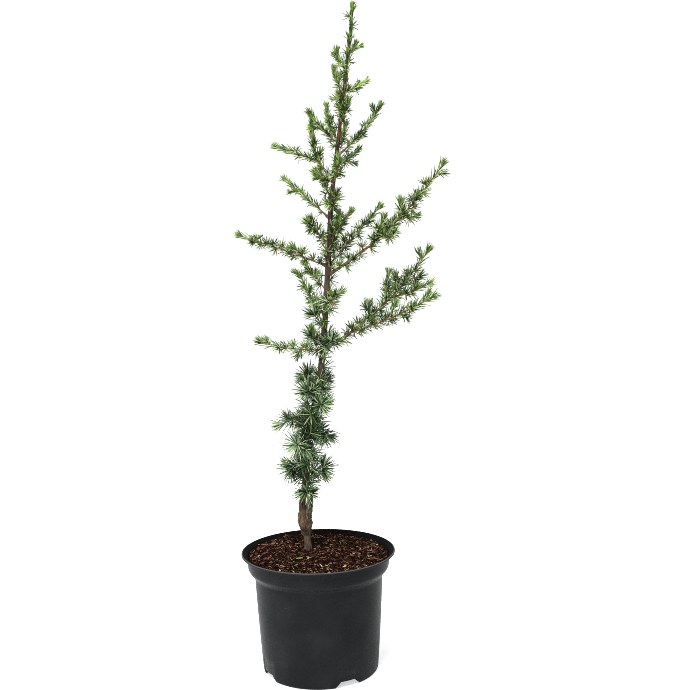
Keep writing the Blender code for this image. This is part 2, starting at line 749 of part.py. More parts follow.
def make_plant():
    """Boughs, and the masses of needles on them and on the trunk."""
    bark = plain_material("bough_bark", "#6b4a30", 0.8)
    green = plain_material("cedar_needles", "#5f8a56", 0.6)
    space = Space()
    paths = place_shoots(space)
    shoots = [*SHOOTS, LOW_FORK]
    stems = {}
    for shoot in shoots:
        bough, stem = split_path(shoot, paths[shoot.name])
        share = shoot.bare / shoot.length
        radii = (core_radius(shoot.length, 0), core_radius(shoot.length, share))
        if bough:
            add_object("bough_" + shoot.name, limb_solid(bough, radii, BOUGH_SIDES), bark)
            space.take("bough_" + shoot.name, bough, [radii[0]] * len(bough))
        stems[shoot.name] = [(stem, radii[1], shoot.needle)]
        space.take(shoot.name, stem, [radii[1]] * len(stem))
    for side in SIDES:
        path = paths[side.parent]
        foot, _ = place_along(path, side.place * path_length(path))
        twig = walk(foot, *side[2:6])
        radius = core_radius(side.length, 0)
        stems[side.parent].append((twig, radius, side.needle))
        space.take(side.parent, twig, [radius] * len(twig))
    for index, shoot in enumerate(shoots):
        rng = random.Random(SEED + index)
        for twig in seeded_twigs(space, shoot.name, stems[shoot.name][0][0], shoot.needle, rng):
            stems[shoot.name].append((twig, TWIG_RADIUS * MM, shoot.needle * TWIG_NEEDLE_SHARE))
            space.take(shoot.name, twig, [TWIG_RADIUS * MM] * len(twig))
    for index, shoot in enumerate(shoots):
        rng = random.Random(SEED + 100 + index)
        solids = [spray_solid(space, shoot.name, *stem, rng) for stem in stems[shoot.name]]
        join_mass("needles_" + shoot.name, solids, green)


def main():
    for old in list(bpy.data.objects):
        bpy.data.objects.remove(old)
    make_pot()
    make_soil()
    make_trunk()
    make_plant()


main()
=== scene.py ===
"""Young glauca cedar of Lebanon in a nursery pot: the pieces that are seen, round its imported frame.

Lengths in the tables are millimetres and angles are degrees; MM turns millimetres into Blender's metres.
The origin is the centre of the pot's flat underside, +Z is up, and the plant is seen from -Y.
An azimuth of 0 points to +X (right), 90 to +Y (back), 180 to -X (left) and -90 to the front.
"""

import json
import math
import random
from collections import namedtuple
from functools import partial

import bmesh
import bpy
import numpy as np
from bpy.props import FloatProperty, FloatVectorProperty, IntProperty, PointerProperty
from mathutils import Euler, Matrix, Vector, noise

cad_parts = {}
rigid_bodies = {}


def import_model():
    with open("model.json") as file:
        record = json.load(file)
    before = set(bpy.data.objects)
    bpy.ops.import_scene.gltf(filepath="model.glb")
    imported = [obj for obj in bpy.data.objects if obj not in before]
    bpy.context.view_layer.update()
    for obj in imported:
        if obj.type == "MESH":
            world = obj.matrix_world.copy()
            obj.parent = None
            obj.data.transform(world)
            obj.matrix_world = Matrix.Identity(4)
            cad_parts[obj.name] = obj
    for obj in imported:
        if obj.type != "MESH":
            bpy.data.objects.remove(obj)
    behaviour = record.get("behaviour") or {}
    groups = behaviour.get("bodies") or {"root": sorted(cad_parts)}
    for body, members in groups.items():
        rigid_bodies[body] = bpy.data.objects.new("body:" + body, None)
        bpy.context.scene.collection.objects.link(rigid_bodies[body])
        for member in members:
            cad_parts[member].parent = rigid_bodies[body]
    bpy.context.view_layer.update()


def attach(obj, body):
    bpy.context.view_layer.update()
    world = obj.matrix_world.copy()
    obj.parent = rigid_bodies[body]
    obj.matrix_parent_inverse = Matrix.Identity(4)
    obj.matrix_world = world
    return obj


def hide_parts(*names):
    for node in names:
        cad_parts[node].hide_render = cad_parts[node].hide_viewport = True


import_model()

bl_info = {
    "name": "Potted glauca cedar of Lebanon",
    "version": (1, 0, 0),
    "blender": (4, 5, 0),
    "location": "View3D > Sidebar > Cedar",
    "description": "Pot, soil, bark, twigs and needles of a young cedar, made round its packed frame",
    "category": "Add Mesh",
}

MM = 0.001
GOLDEN_ANGLE = math.radians(137.5)

# Pot, as in the part's source, but with more points round its lip, and its shoulder as high as in the photo
POT_HEIGHT = 150.0
WALL = 1.5
FLOOR = 2.0
FOOT_CORNERS = ((68.5, 0.0), (70.4, 0.4), (71.2, 1.2), (71.7, 2.6), (72.0, 4.0))
BODY_SIDE = ((73.8, 28.0), (75.9, 59.0), (77.4, 84.0), (79.2, 118.0))
SHOULDER = (
    (79.6, 120.6), (80.5, 122.3), (82.6, 124.6), (85.3, 127.5), (86.7, 129.8), (87.3, 131.6), (87.7, 133.8),
)
BAND_SIDE = ((88.3, 140.0), (88.8, 145.6), (89.3, 146.9))
LIP = (
    (90.4, 147.4), (94.3, 147.4), (95.0, 147.7), (95.3, 148.3), (95.3, 149.0), (95.1, 149.6),
    (94.7, POT_HEIGHT),
)
MOUTH = ((87.2, 144.0), (87.9, 145.8), (89.3, 147.3), (91.4, 148.7), (93.0, 149.6), (93.9, POT_HEIGHT))
SHOULDER_DROP = 0.6
NOTCH_COUNT = 4
NOTCH_TURN = 28.5
NOTCH_HEIGHT = 8.0
NOTCH_FOOT_WIDTH = 34.0
NOTCH_TOP_WIDTH = 20.0
NOTCH_INNER_RADIUS = 50.0
DRAIN_RADIUS = 2.6
DRAIN_HEIGHT = 5.0
DRAIN_SIDES = 20
# Lightness of the plastic where its clouds are dark, middling and pale, as shares of its colour
PLASTIC_SHADES = ((0.38, 0.82), (0.55, 1.0), (0.72, 1.345))
# The lip's top edge is paler, partly for rubbing and partly as a painted highlight: it starts and is palest
# at these distances under its top
PALE_LIP_FROM = 0.9
PALE_LIP_TO = 0.2

# Soil, whose top stands a little higher than in the source, as in the photo
SOIL_TOP = 144.2
SOIL_DOME = 2.4
SOIL_EDGE_DROP = 1.6
SOIL_SEAT_RADIUS = 22.0
SOIL_RADIUS = 86.9
SOIL_CLEAR = 0.6
SOIL_UNDERSIDE = 12.0
# Waves of the soil's top: height, how many go round, and where they start in radians
SOIL_WAVES = ((1.3, 1, -0.6), (0.9, 3, 1.1), (0.5, 7, 0.0))
COARSE_CRUMB = 6.0
FINE_CRUMB = 2.5
COARSE_SHARE = 0.65
FINE_SHARE = 0.45
# Flakes and fibres on the soil: ranges of length, widths as shares of it, and the rest in millimetres
LARGE_FLAKE_SHARE = 0.25
LARGE_FLAKE = (4.0, 9.0)
SMALL_FLAKE = (1.8, 4.6)
FLAKE_WIDTHS = (0.12, 0.2, 0.35, 0.55)
FLAKE_NARROWEST = 0.7
FLAKE_WIDEST = 2.6
FLAKE_THICKNESS = (0.35, 0.9)
FLAKE_LIFT = (-0.2, 0.8)
FLAKE_RINGS = (-0.5, -0.15, 0.2, 0.5)
# A flake leans and rolls by these spreads in radians, bends by a share of its length, and has ragged edges
FLAKE_LEAN = 0.35
FLAKE_ROLL = 0.3
FLAKE_BEND = (-0.12, 0.2)
FLAKE_RAGGED = (-0.15, 0.15)
FLAKE_SHIFT = (-0.1, 0.1)
FLAKE_TAPER = 1.5
FLAKE_TAPER_POWER = 1.6
FLAKE_LEAST_WIDTH = 0.25
FLAKE_EDGE_CLEAR = 0.5
MOSS_SHARE = 0.018

# Trunk: (height, x, y) of its centre line, from the cut at the soil to the tip
TRUNK_SPINE = (
    (141.3, -13.0, 22.0),
    (181.0, -16.0, 20.0),
    (205.0, -19.0, 18.5),
    (238.0, -13.5, 16.0),
    (300.0, -7.5, 13.0),
    (355.0, 5.5, 10.5),
    (420.0, 13.8, 10.0),
    (502.0, 20.5, 10.0),
    (575.0, 26.0, 10.0),
    (641.0, 34.7, 10.0),
    (700.0, 43.2, 10.0),
    (803.0, 56.5, 10.0),
)
TRUNK_FOOT_RADIUS = 4.0
TRUNK_TIP_RADIUS = 0.7
TRUNK_TAPER = 2.4
ROOT_FLARE = 2.2
ROOT_FLARE_FADE = 6.0
GRAFT_HEIGHT = 180.0
GRAFT_SWELL = 5.4
GRAFT_REACH = 13.0
STUB_FOOT = (-14.0, 18.5, 178.0)
STUB_END = (-8.0, 15.0, 214.0)
STUB_RADII = (5.2, 3.9)
STUB_ROUND_FROM = 0.8
STUB_ROUNDNESS = 0.05
STUB_END_SHARE = 0.12
STUB_LUMP = 0.5
STUB_LUMP_LENGTH = 4.0

# Relief of the bark: size across and along of its ridges and scales, and their depth
RIDGE_WIDTH = 1.5
RIDGE_LENGTH = 13.0
RIDGE_DEPTH = 0.62
SCALE_WIDTH = 0.9
SCALE_LENGTH = 3.5
SCALE_DEPTH = 0.3
FULL_RELIEF_RADIUS = 4.0
GRAFT_LUMP_WIDTH = 6.0
GRAFT_LUMP_LENGTH = 6.5
GRAFT_LUMP_DEPTH = 3.0
GRAFT_LUMP_REACH = 1.15
# The trunk swells round the foot of each shoot: over this reach, by this share of it, up to so many reaches
COLLAR_REACH = 1.2
COLLAR_REACH_PER_RADIUS = 1.1
COLLAR_SWELL = 0.38
COLLAR_END = 2.5
# Swelling at the foot of a bough: height, place and reach. Knots: height and length, on boughs and on stems
BOUGH_SWELL = (0.9, 4.0, 5.0)
BOUGH_KNOTS = (0.22, 3.0)
STEM_KNOTS = (0.16, 1.7)

# Tubes of the wood: sides, spacing of the rings, and how uneven they are
STUB_TUBE = (24, 1.2, 0.05)
BOUGH_TUBE = (12, 1.3, 0.07)
STEM_TUBE = (7, 1.8, 0.08)
SPUR_TUBE = (5, 1.2, 0.12)
TRUNK_SPUR_TUBE = (6, 1.2, 0.12)
SPUR_RADIUS = 0.85
TRUNK_SPUR_RADIUS = 0.95
TIP_DOME = 0.7

# Boughs and the wood of the shoots
BOUGH_FOOT_RADIUS = 0.6
BOUGH_RADIUS_PER_LENGTH = 0.0108
CORE_FOOT_RADIUS = 0.9
CORE_TIP_RADIUS = 0.7
GAP = 0.35
PATH_STEP = 6.0
# The wood is slimmer here than in the source, whose limbs carry its coarser needles
WOOD_SHARE = 0.74

# Shoots on the trunk. Height is where a shoot leaves the trunk, rise is its slope there, rise_end at its tip.
# Bare is the length of its bough before the needles start, or 0 for a shoot with needles from its foot.
Shoot = namedtuple("Shoot", "name height azimuth rise rise_end length bare needle")
SHOOTS = (
    Shoot("leader_tip", 803, 10, 85, 80, 1, 0, 6),
    Shoot("leader_left_upper", 735, 160, 45, 85, 21, 0, 9),
    Shoot("leader_left_lower", 711, 200, 45, 88, 21, 0, 10),
    Shoot("leader_right", 751, 5, 45, 70, 12, 0, 8),
    Shoot("top_right", 708, 15, 22, 32, 34, 0, 10),
    Shoot("top_back", 690, 100, 35, 55, 34, 0, 10),
    Shoot("top_front", 676, -72, 28, 42, 38, 0, 10),
    Shoot("upper_right", 633, -20, 34, 58, 82, 12, 10),
    Shoot("upper_left_inner", 652, 140, 50, 95, 46, 0, 9),
    Shoot("upper_left", 649, 205, 36, 54, 51, 0, 10),
    Shoot("upper_left_fork", 602, 168, 52, 98, 82, 14, 10),
    Shoot("upper_back", 640, 75, 30, 50, 58, 10, 10),
    Shoot("upper_right_back", 622, 42, 18, 42, 46, 0, 10),
    Shoot("upper_front", 603, -78, 20, 38, 46, 0, 11),
    Shoot("middle_left_short", 602, 208, 22, 32, 29, 0, 10),
    Shoot("middle_back", 582, 105, 25, 45, 72, 12, 10),
    Shoot("middle_front", 567, -80, 20, 32, 48, 0, 13),
    Shoot("middle_left", 558, 170, 44, 38, 73, 14, 10),
    Shoot("middle_right_back", 542, 50, 24, 42, 51, 0, 10),
    Shoot("middle_left_cluster", 527, 228, 40, 32, 46, 0, 12),
    Shoot("middle_right_small", 531, -35, 45, 85, 34, 0, 11),
    Shoot("back_long", 511, 82, 22, 42, 98, 14, 11),
    Shoot("left_long", 501, 192, 22, 18, 114, 15, 11),
    Shoot("right_long_upper", 500, 24, 46, 44, 100, 12, 11),
    Shoot("right_long", 490, -10, 30, 56, 194, 46, 12),
    Shoot("left_low", 470, 150, 50, 46, 43, 0, 11),
    Shoot("front_low", 452, -78, 12, 20, 62, 0, 13),
    Shoot("back_low", 441, 112, 18, 42, 100, 14, 12),
    Shoot("left_rosettes", 428, 165, 40, 75, 24, 0, 14),
    Shoot("left_front_low", 404, 232, 30, 42, 33, 0, 15),
    Shoot("right_low", 398, 12, 28, 56, 184, 40, 13),
    Shoot("front_lowest", 401, -70, 16, 26, 46, 0, 15),
    Shoot("left_lowest", 399, 188, 0, 20, 80, 0, 12),
    Shoot("rosette_left_high", 356, 160, 30, 50, 13, 0, 16),
    Shoot("rosette_back_high", 352, 80, 15, 25, 17, 0, 17),
    Shoot("rosette_front_left", 337, 238, 30, 50, 15, 0, 18),
    Shoot("rosette_front_right", 323, -60, 15, 40, 18, 0, 16),
    Shoot("lower_left", 315, 172, -6, -28, 46, 0, 16),
    Shoot("rosette_back_middle", 306, 108, 0, -10, 18, 0, 18),
    Shoot("lower_right_back", 299, 35, -15, -40, 38, 0, 17),
    Shoot("rosette_left_large", 287, 232, -5, -20, 17, 0, 20),
    Shoot("rosette_left_low", 259, 176, -15, -45, 18, 0, 19),
    Shoot("rosette_right_low", 244, 12, 15, 10, 17, 0, 18),
    Shoot("rosette_front_low", 231, -84, -20, -50, 11, 0, 18),
)
# One more shoot stands on the bough of right_low. Its height is a share of the bough's length
LOW_FORK = Shoot("right_lower", 0.86, -32, 16, 28, 128, 0, 12)
LOW_FORK_PARENT = "right_low"

# Side shoots: place is the share of the parent's length at which they leave it
Side = namedtuple("Side", "parent place azimuth rise rise_end length needle")
SIDES = (
    Side("upper_left_fork", 0.28, 165, 24, 16, 64, 10),
    Side("middle_left_cluster", 0.35, 178, 55, 65, 26, 11),
    Side("left_long", 0.24, 215, 45, 30, 16, 12),
    Side("right_long", 0.32, -50, 48, 64, 42, 12),
    Side("right_long", 0.38, -62, 4, 8, 42, 13),
    Side("right_long", 0.44, 75, 12, 24, 40, 12),
    Side("right_long", 0.54, 60, 62, 84, 18, 12),
    Side("right_long", 0.56, 28, -6, 12, 28, 12),
    Side("right_long", 0.66, -70, 30, 40, 16, 11),
    Side("right_low", 0.34, -80, 62, 70, 14, 14),
    Side("right_low", 0.50, -20, 78, 88, 43, 12),
    Side("right_low", 0.56, -27, 10, 26, 60, 13),
    Side("right_low", 0.62, 92, 18, 40, 44, 12),
    Side("right_low", 0.72, -48, 2, 14, 20, 13),
    Side("right_lower", 0.40, 40, 40, 55, 18, 12),
    Side("right_lower", 0.66, -80, 10, 10, 16, 12),
)

# Twigs that a seeded rule adds along each shoot, as in the part's source
SEED = 40
BARK_SEED = 41
CROWN_SEED = 540
TWIG_SPACING = 50.0
TWIG_LENGTH = (7.0, 12.0)
TWIG_SPLAY = (45.0, 65.0)
TWIG_COUNT_BIAS = 0.3
TWIG_PLACE = (0.3, 0.7)
TWIG_RADIUS = 0.77
TWIG_NEEDLE_SHARE = 0.85
TWIG_TIP_SHARE = 0.8
# Distances from the root of a side shoot and of a twig to its first needles
SIDE_START = 1.5
TWIG_START = 0.8

# How the needles stand on each kind of shoot. Single is the spacing of single needles, which begin at a share
# of the shoot. Tuft is that of the short spurs, each with a number of needles, which stop at another share.
# The tip has a number of needles too, and the splays are angles from the stem at the shoot's foot and tip.
Habit = namedtuple("Habit", "single single_start tuft tuft_needles tuft_end tip_needles splay_foot splay_tip")
HABITS = {
    "young": Habit(0.52, 0.0, 9.0, 8, 0.6, 18, 42, 22),
    "older": Habit(1.1, 0.1, 8.0, 20, 0.8, 22, 56, 26),
    "comb": Habit(0.66, 0.0, 14.0, 11, 0.5, 18, 68, 32),
    "glaucous": Habit(0.9, 0.0, 6.0, 24, 0.9, 34, 68, 34),
    "rosette": Habit(0.8, 0.0, 90.0, 0, 0.0, 84, 85, 60),
    "leader": Habit(0.8, 0.0, 14.0, 12, 1.0, 20, 24, 13),
}
# Long stems end this share of a needle short, so that the needles at their tips reach the true outline
TIP_TRIM = 0.8
# The leader carries needles from this height up
LEADER_NEEDLES = 672.0
LEADER_NEEDLE = 10.5
LEADER_POINTS = 24
# Spurs with tufts on the trunk: from height, to height, spacing, number of needles, and their length
TRUNK_SPURS = (
    (226.0, 345.0, 4.6, 34, 20.0),
    (345.0, 376.0, 9.0, 22, 15.0),
    (376.0, 520.0, 11.0, 15, 13.0),
    (520.0, 690.0, 13.0, 12, 10.0),
)
# Needles up to the first length are young, and from the second on they are old and blue
YOUNG_NEEDLE = 10
GLAUCOUS_NEEDLE = 14
# A blue shoot up to this length is one rosette, with longer needles at its tip
ROSETTE_LENGTH = 24.0
ROSETTE_STRETCH = 1.16
COMB_SHOOTS = ("right_lower",)
# Needles in a spray of one tone: in a tuft, and the least and most along a stem
SPRAY = 3
SPRAY_ALONG = (2, 4)
# Angles from the axis, in degrees, at which the innermost and outermost needles of a tuft stand
SPUR_SPREAD = (15, 80)
TRUNK_SPREAD = (15, 82)
TIP_SPREAD = (3, 42)
ROSETTE_SPREAD = (8, 100)
TWIG_TIP_NEEDLES = 0.6
# Single needles stand up to this distance from the tip, shorter at the foot, each rooted a little in the wood
BARE_TIP = 0.4
FOOT_LENGTH = 0.82
ROOT_SINK = 0.85
SPLAY_POWER = 1.3
SPLAY_SPREAD = 8
TUFT_SPLAY_SPREAD = 5
# Spurs on a stem: the first one's distance from the root, what is added to it, lean, lift and length
FIRST_SPUR = 5.0
FIRST_SPUR_SHARE = 0.2
FIRST_SPUR_SPREAD = (1.0, 4.0)
SPUR_LEAN = (48, 75)
SPUR_LIFT = 0.18
SPUR_LENGTH = (0.8, 2.6)
SPUR_NEEDLE = 0.92
# Spurs on the trunk: rise, length, and how far along a shoot their tones are taken from
TRUNK_SPUR_RISE = (-0.1, 0.55)
TRUNK_SPUR_LENGTH = (1.0, 3.5)
TRUNK_SPUR_SHARE = 0.2
# Spread of lengths and of numbers, as shares
SINGLE_LENGTHS = (0.8, 1.1)
TUFT_LENGTHS = (0.78, 1.08)
NEEDLE_WIDTHS = (0.88, 1.12)
TUFT_NUMBERS = (0.8, 1.2)
SINGLE_STEPS = (0.6, 1.4)
TUFT_STEPS = (0.7, 1.3)
# Rings of a needle as shares of its length and width, the turns of its three corners, and how flat it is
NEEDLE_RINGS = ((0.0, 0.5), (0.3, 1.0), (0.78, 0.8))
NEEDLE_CORNERS = (math.pi / 2, math.pi * 7 / 6, math.pi * 11 / 6)
NEEDLE_FLATNESS = 0.8
# Needles lean up a little, and curl towards the shoot's tip by a share of their length
NEEDLE_LIFT = 0.1
NEEDLE_CURL = 0.12
NEEDLE_DRIFT = 0.05

# Regions of the crown, from the highest: name and the height above which its shoots leave the trunk
REGIONS = (("top", 595.0), ("middle", 480.0), ("low", 380.0), ("foot", 0.0))

# Tones of the needles, as sRGB hex codes; the darkest and the palest are painted shade and a painted
# highlight, dealt out by spray
TONES = {
    "shade": "#1b2716",
    "deep_glaucous": "#31462b",
    "glaucous": "#567349",
    "pale_glaucous": "#93b080",
    "frosted_highlight": "#b9c89c",
    "deep_green": "#2b431d",
    "green": "#4c6829",
    "mid_green": "#688236",
    "fresh": "#859f50",
    "lime": "#9fb56c",
    "straw": "#a98c58",
    "brown": "#63422a",
}
TONE_NAMES = tuple(TONES)
# Tones from dull to bright for each age of spray
AGES = {
    "old": ("shade", "shade", "deep_glaucous", "glaucous", "glaucous", "pale_glaucous", "frosted_highlight"),
    "mixed": ("shade", "deep_glaucous", "green", "glaucous", "mid_green", "pale_glaucous", "fresh", "frosted_highlight"),
    "green": ("shade", "deep_green", "green", "mid_green", "fresh", "frosted_highlight"),
    "new": ("deep_green", "green", "mid_green", "fresh", "lime"),
    "leader": ("deep_green", "deep_green", "green", "mid_green", "fresh"),
}
# How far up a spray is: 0 at this height, one more for each span, and more towards the tip of its shoot
CLIMB_FROM = 380.0
CLIMB_SPAN = 420.0
CLIMB_OF_TIP = 0.55
MIXED_BELOW = 0.3
GREEN_BELOW = 0.8
# New growth: from this share of a shoot on, most sprays are new, and a few of the old ones are too
NEW_FROM = 0.82
NEW_AT_TIPS = 0.8
NEW_AMONG_OLD = 0.03
DEAD_SHARE = 0.025
BROWN_OF_DEAD = 0.6

# Barks of the boughs and of the twigs, from dark to light; the twigs' are in the order of their numbers
BOUGH_TONES = ("#2e201a", "#5c4535", "#8c6d52")
TWIG_BARKS = {
    "twig_bark_brown": ("#2a1b12", "#533929", "#775540"),
    "twig_bark_orange": ("#4a2911", "#76461f", "#9a6435"),
    "twig_bark_green": ("#4f5a24", "#79803c", "#9aa056"),
}
BROWN, ORANGE, GREEN = range(len(TWIG_BARKS))
GREEN_TWIGS_FROM = 560.0

# Lights, in metres: place, size, the setting that holds their power, and their share of it
Light = namedtuple("Light", "name place size setting share")
LIGHTS = (
    Light("softbox_left", (-1.5, 0.55, 0.7), (0.7, 1.5), "side_light", 1.0),
    Light("softbox_right", (1.5, 0.55, 0.7), (0.7, 1.5), "side_light", 0.8),
    Light("strip_front", (-0.62, -1.6, 0.6), (0.16, 1.5), "front_light", 1.0),
    Light("softbox_above", (-0.4, -0.9, 1.9), (1.0, 1.0), "top_light", 1.0),
)
LIT_POINT = (0.03, 0.0, 0.42)
SENSOR_WIDTH = 36.0
FLOOR_SIDES = 96
VIEW_END = 50.0


# Colours, materials and nodes


def linear(hex_code):
    """Linear red, green and blue of an sRGB hex code."""
    parts = [int(hex_code[i:i + 2], 16) / 255 for i in (1, 3, 5)]
    return [c / 12.92 if c <= 0.04045 else ((c + 0.055) / 1.055) ** 2.4 for c in parts]


def dyed(tint, hex_code):
    """Linear colour of an sRGB hex code, multiplied by a tint."""
    return [c * t for c, t in zip(linear(hex_code), tint)]


def tinted(tint, stops):
    """Stops of (place, hex code) with linear colours, each multiplied by a tint."""
    return [(place, dyed(tint, code)) for place, code in stops]


def shades(colour, stops):
    """Stops of (place, share) with a linear colour, made darker or lighter by each share."""
    return [(place, [c * share for c in colour]) for place, share in stops]


def per_metre(size_mm):
    """Scale of a pattern whose features are this many millimetres wide."""
    return 1000.0 / size_mm


def add_node(tree, kind, inputs=None, stops=None, **settings):
    """Adds a node with its settings, its colour stops, and a value or a feeding socket for each input."""
    made = tree.nodes.new(kind)
    for key, value in settings.items():
        setattr(made, key, value)
    for key, value in (inputs or {}).items():
        if isinstance(value, bpy.types.NodeSocket):
            tree.links.new(value, made.inputs[key])
        else:
            made.inputs[key].default_value = value
    if stops:
        ramp = made.color_ramp
        while len(ramp.elements) < len(stops):
            ramp.elements.new(0.5)
        for element, (place, colour) in zip(ramp.elements, stops):
            element.position = place
            element.color = (*colour, 1.0)
    return made


def new_material(name, base, **sockets):
    """Principled material with a linear base colour and values on the shader's own sockets."""
    made = bpy.data.materials.new(name)
    made.use_nodes = True
    shader = made.node_tree.nodes["Principled BSDF"]
    shader.inputs["Base Color"].default_value = (*base, 1.0)
    for key, value in sockets.items():
        shader.inputs[key.replace("_", " ")].default_value = value
    return made, made.node_tree, shader


def mottled(name, stops, size_mm, detail, bump_mm=0.0, stretch=(1.0, 1.0, 1.0), breakup=0.5, **sockets):
    """Material whose colour follows a cloudy pattern of a size in millimetres, which may also dent it."""
    made, tree, shader = new_material(name, stops[len(stops) // 2][1], **sockets)
    place = object_place(tree, stretch)
    clouds = add_node(
        tree, "ShaderNodeTexNoise",
        {"Vector": place, "Scale": per_metre(size_mm), "Detail": detail, "Roughness": breakup},
    )
    tint = add_node(tree, "ShaderNodeValToRGB", {"Fac": clouds.outputs["Fac"]}, stops=stops)
    tree.links.new(tint.outputs["Color"], shader.inputs["Base Color"])
    if bump_mm:
        finish_bump(tree, shader, clouds.outputs["Fac"], bump_mm)
    return made


def object_place(tree, stretch=(1.0, 1.0, 1.0)):
    """Place on the object in metres, stretched for a pattern with a direction."""
    place = add_node(tree, "ShaderNodeTexCoord").outputs["Object"]
    return add_node(tree, "ShaderNodeMapping", {"Vector": place, "Scale": stretch}).outputs["Vector"]


def finish_bump(tree, shader, height, depth_mm):
    """Bump of a depth in millimetres on a shader."""
    bump = add_node(tree, "ShaderNodeBump", {"Height": height, "Distance": depth_mm * MM, "Strength": 1.0})
    tree.links.new(bump.outputs["Normal"], shader.inputs["Normal"])


# Meshes


def add_mesh(name, mesh, materials=(), smooth_angle=35.0):
    """Puts a mesh in the scene as an object with its materials."""
    for material in materials:
        mesh.materials.append(material)
    mesh.shade_smooth()
    mesh.set_sharp_from_angle(angle=math.radians(smooth_angle))
    made = bpy.data.objects.new(name, mesh)
    bpy.context.scene.collection.objects.link(made)
    return made


def add_bmesh(name, bm, materials=(), smooth_angle=35.0):
    """Puts a bmesh in the scene as an object."""
    bmesh.ops.recalc_face_normals(bm, faces=bm.faces)
    mesh = bpy.data.meshes.new(name)
    bm.to_mesh(mesh)
    bm.free()
    return add_mesh(name, mesh, materials, smooth_angle)


class Gather:
    """Vertices, faces and material numbers of many shapes, to be joined into one mesh."""

    def __init__(self):
        """Starts with nothing."""
        self.verts = []
        self.faces = []
        self.slots = []

    def add(self, verts, faces, slot=0):
        """Adds a shape, with the number of its material."""
        base = len(self.verts)
        self.verts.extend(verts)
        self.faces.extend([tuple(base + i for i in face) for face in faces])
        self.slots.extend([slot] * len(faces))

    def make(self, name, materials, smooth_angle=60.0):
        """Puts all the shapes in the scene as one object."""
        mesh = bpy.data.meshes.new(name)
        mesh.from_pydata(self.verts, [], self.faces)
        mesh.polygons.foreach_set("material_index", self.slots)
        return add_mesh(name, mesh, materials, smooth_angle)


def sleeve(bands, sides):
    """Faces of bands between rings of vertices that follow each other in a list."""
    corners = [(k, (k + 1) % sides) for k in range(sides)]
    return [
        (base + k, base + after, base + sides + after, base + sides + k)
        for base in range(0, bands * sides, sides) for k, after in corners
    ]


def boolean(target, operation, operand):
    """Cuts or joins a tool mesh, which is then removed."""
    step = target.modifiers.new(operation.lower(), "BOOLEAN")
    step.operation = operation
    step.solver = "EXACT"
    step.object = operand
    bpy.context.view_layer.update()
    depsgraph = bpy.context.evaluated_depsgraph_get()
    made = bpy.data.meshes.new_from_object(target.evaluated_get(depsgraph))
    target.modifiers.clear()
    target.data = made
    bpy.data.objects.remove(operand)


def bridge(bm, low, high):
    """Band of faces between two rings with the same count."""
    for k, vert in enumerate(low):
        after = (k + 1) % len(low)
        bm.faces.new((vert, low[after], high[after], high[k]))


# Pot


def turned(outline, segments):
    """Solid of revolution of an outline of (radius, height) that starts and ends on the axis."""
    bm = bmesh.new()
    verts = [bm.verts.new((radius * MM, 0.0, height * MM)) for radius, height in outline]
    edges = [bm.edges.new(pair) for pair in zip(verts, verts[1:])]
    bmesh.ops.spin(
        bm, geom=verts + edges, axis=(0, 0, 1), cent=(0, 0, 0), steps=segments,
        angle=math.tau, use_merge=True,
    )
    bmesh.ops.remove_doubles(bm, verts=bm.verts, dist=0.01 * MM)
    return bm


def outer_outline():
    """Section of the pot's outside, from the middle of its underside to the middle of its top."""
    return [(0.0, 0.0), *FOOT_CORNERS, *BODY_SIDE, *SHOULDER, *BAND_SIDE, *LIP, (0.0, POT_HEIGHT)]


def inner_side(clear):
    """Section of the pot's inside from the floor up to the band, moved inwards by a clearance."""
    inset = WALL + clear
    corner = (FOOT_CORNERS[-1][0] - inset, FLOOR + FOOT_CORNERS[-1][1] + clear)
    floor = [(FOOT_CORNERS[0][0] - inset, FLOOR + clear), corner]
    body = [(radius - inset, height) for radius, height in BODY_SIDE]
    shoulder = [(radius - inset, height - SHOULDER_DROP + clear) for radius, height in SHOULDER]
    return floor + body + shoulder


def notch_shapes(grow):
    """Channels with slanted sides that run outwards through the foot, one for each notch."""
    bm = bmesh.new()
    slant = (NOTCH_FOOT_WIDTH - NOTCH_TOP_WIDTH) / 2 / NOTCH_HEIGHT
    foot, top = -NOTCH_HEIGHT, NOTCH_HEIGHT + grow
    sideways = NOTCH_FOOT_WIDTH / 2 + grow * math.hypot(1.0, slant)
    low, high = sideways - slant * foot, sideways - slant * top
    section = ((-low, foot), (low, foot), (high, top), (-high, top))
    for index in range(NOTCH_COUNT):
        turn = Matrix.Rotation(math.radians(NOTCH_TURN + index * 360 / NOTCH_COUNT), 4, "Z")
        near = [bm.verts.new(turn @ Vector((NOTCH_INNER_RADIUS - grow, y, z)) * MM) for y, z in section]
        far = [bm.verts.new(turn @ Vector((BAND_SIDE[-1][0], y, z)) * MM) for y, z in section]
        bm.faces.new(near)
        bm.faces.new(far)
        bridge(bm, near, far)
    return bm


def drain_shapes():
    """Round drain holes through the inner end of each notch."""
    bm = bmesh.new()
    lay = Matrix.Rotation(math.pi / 2, 4, "Y")
    place = Matrix.Translation(Vector((NOTCH_INNER_RADIUS, 0, DRAIN_HEIGHT)) * MM)
    for index in range(NOTCH_COUNT):
        turn = Matrix.Rotation(math.radians(NOTCH_TURN + index * 360 / NOTCH_COUNT), 4, "Z")
        bmesh.ops.create_cone(
            bm, cap_ends=True, segments=DRAIN_SIDES, radius1=DRAIN_RADIUS * MM, radius2=DRAIN_RADIUS * MM,
            depth=3 * WALL * MM, matrix=turn @ place @ lay,
        )
    return bm


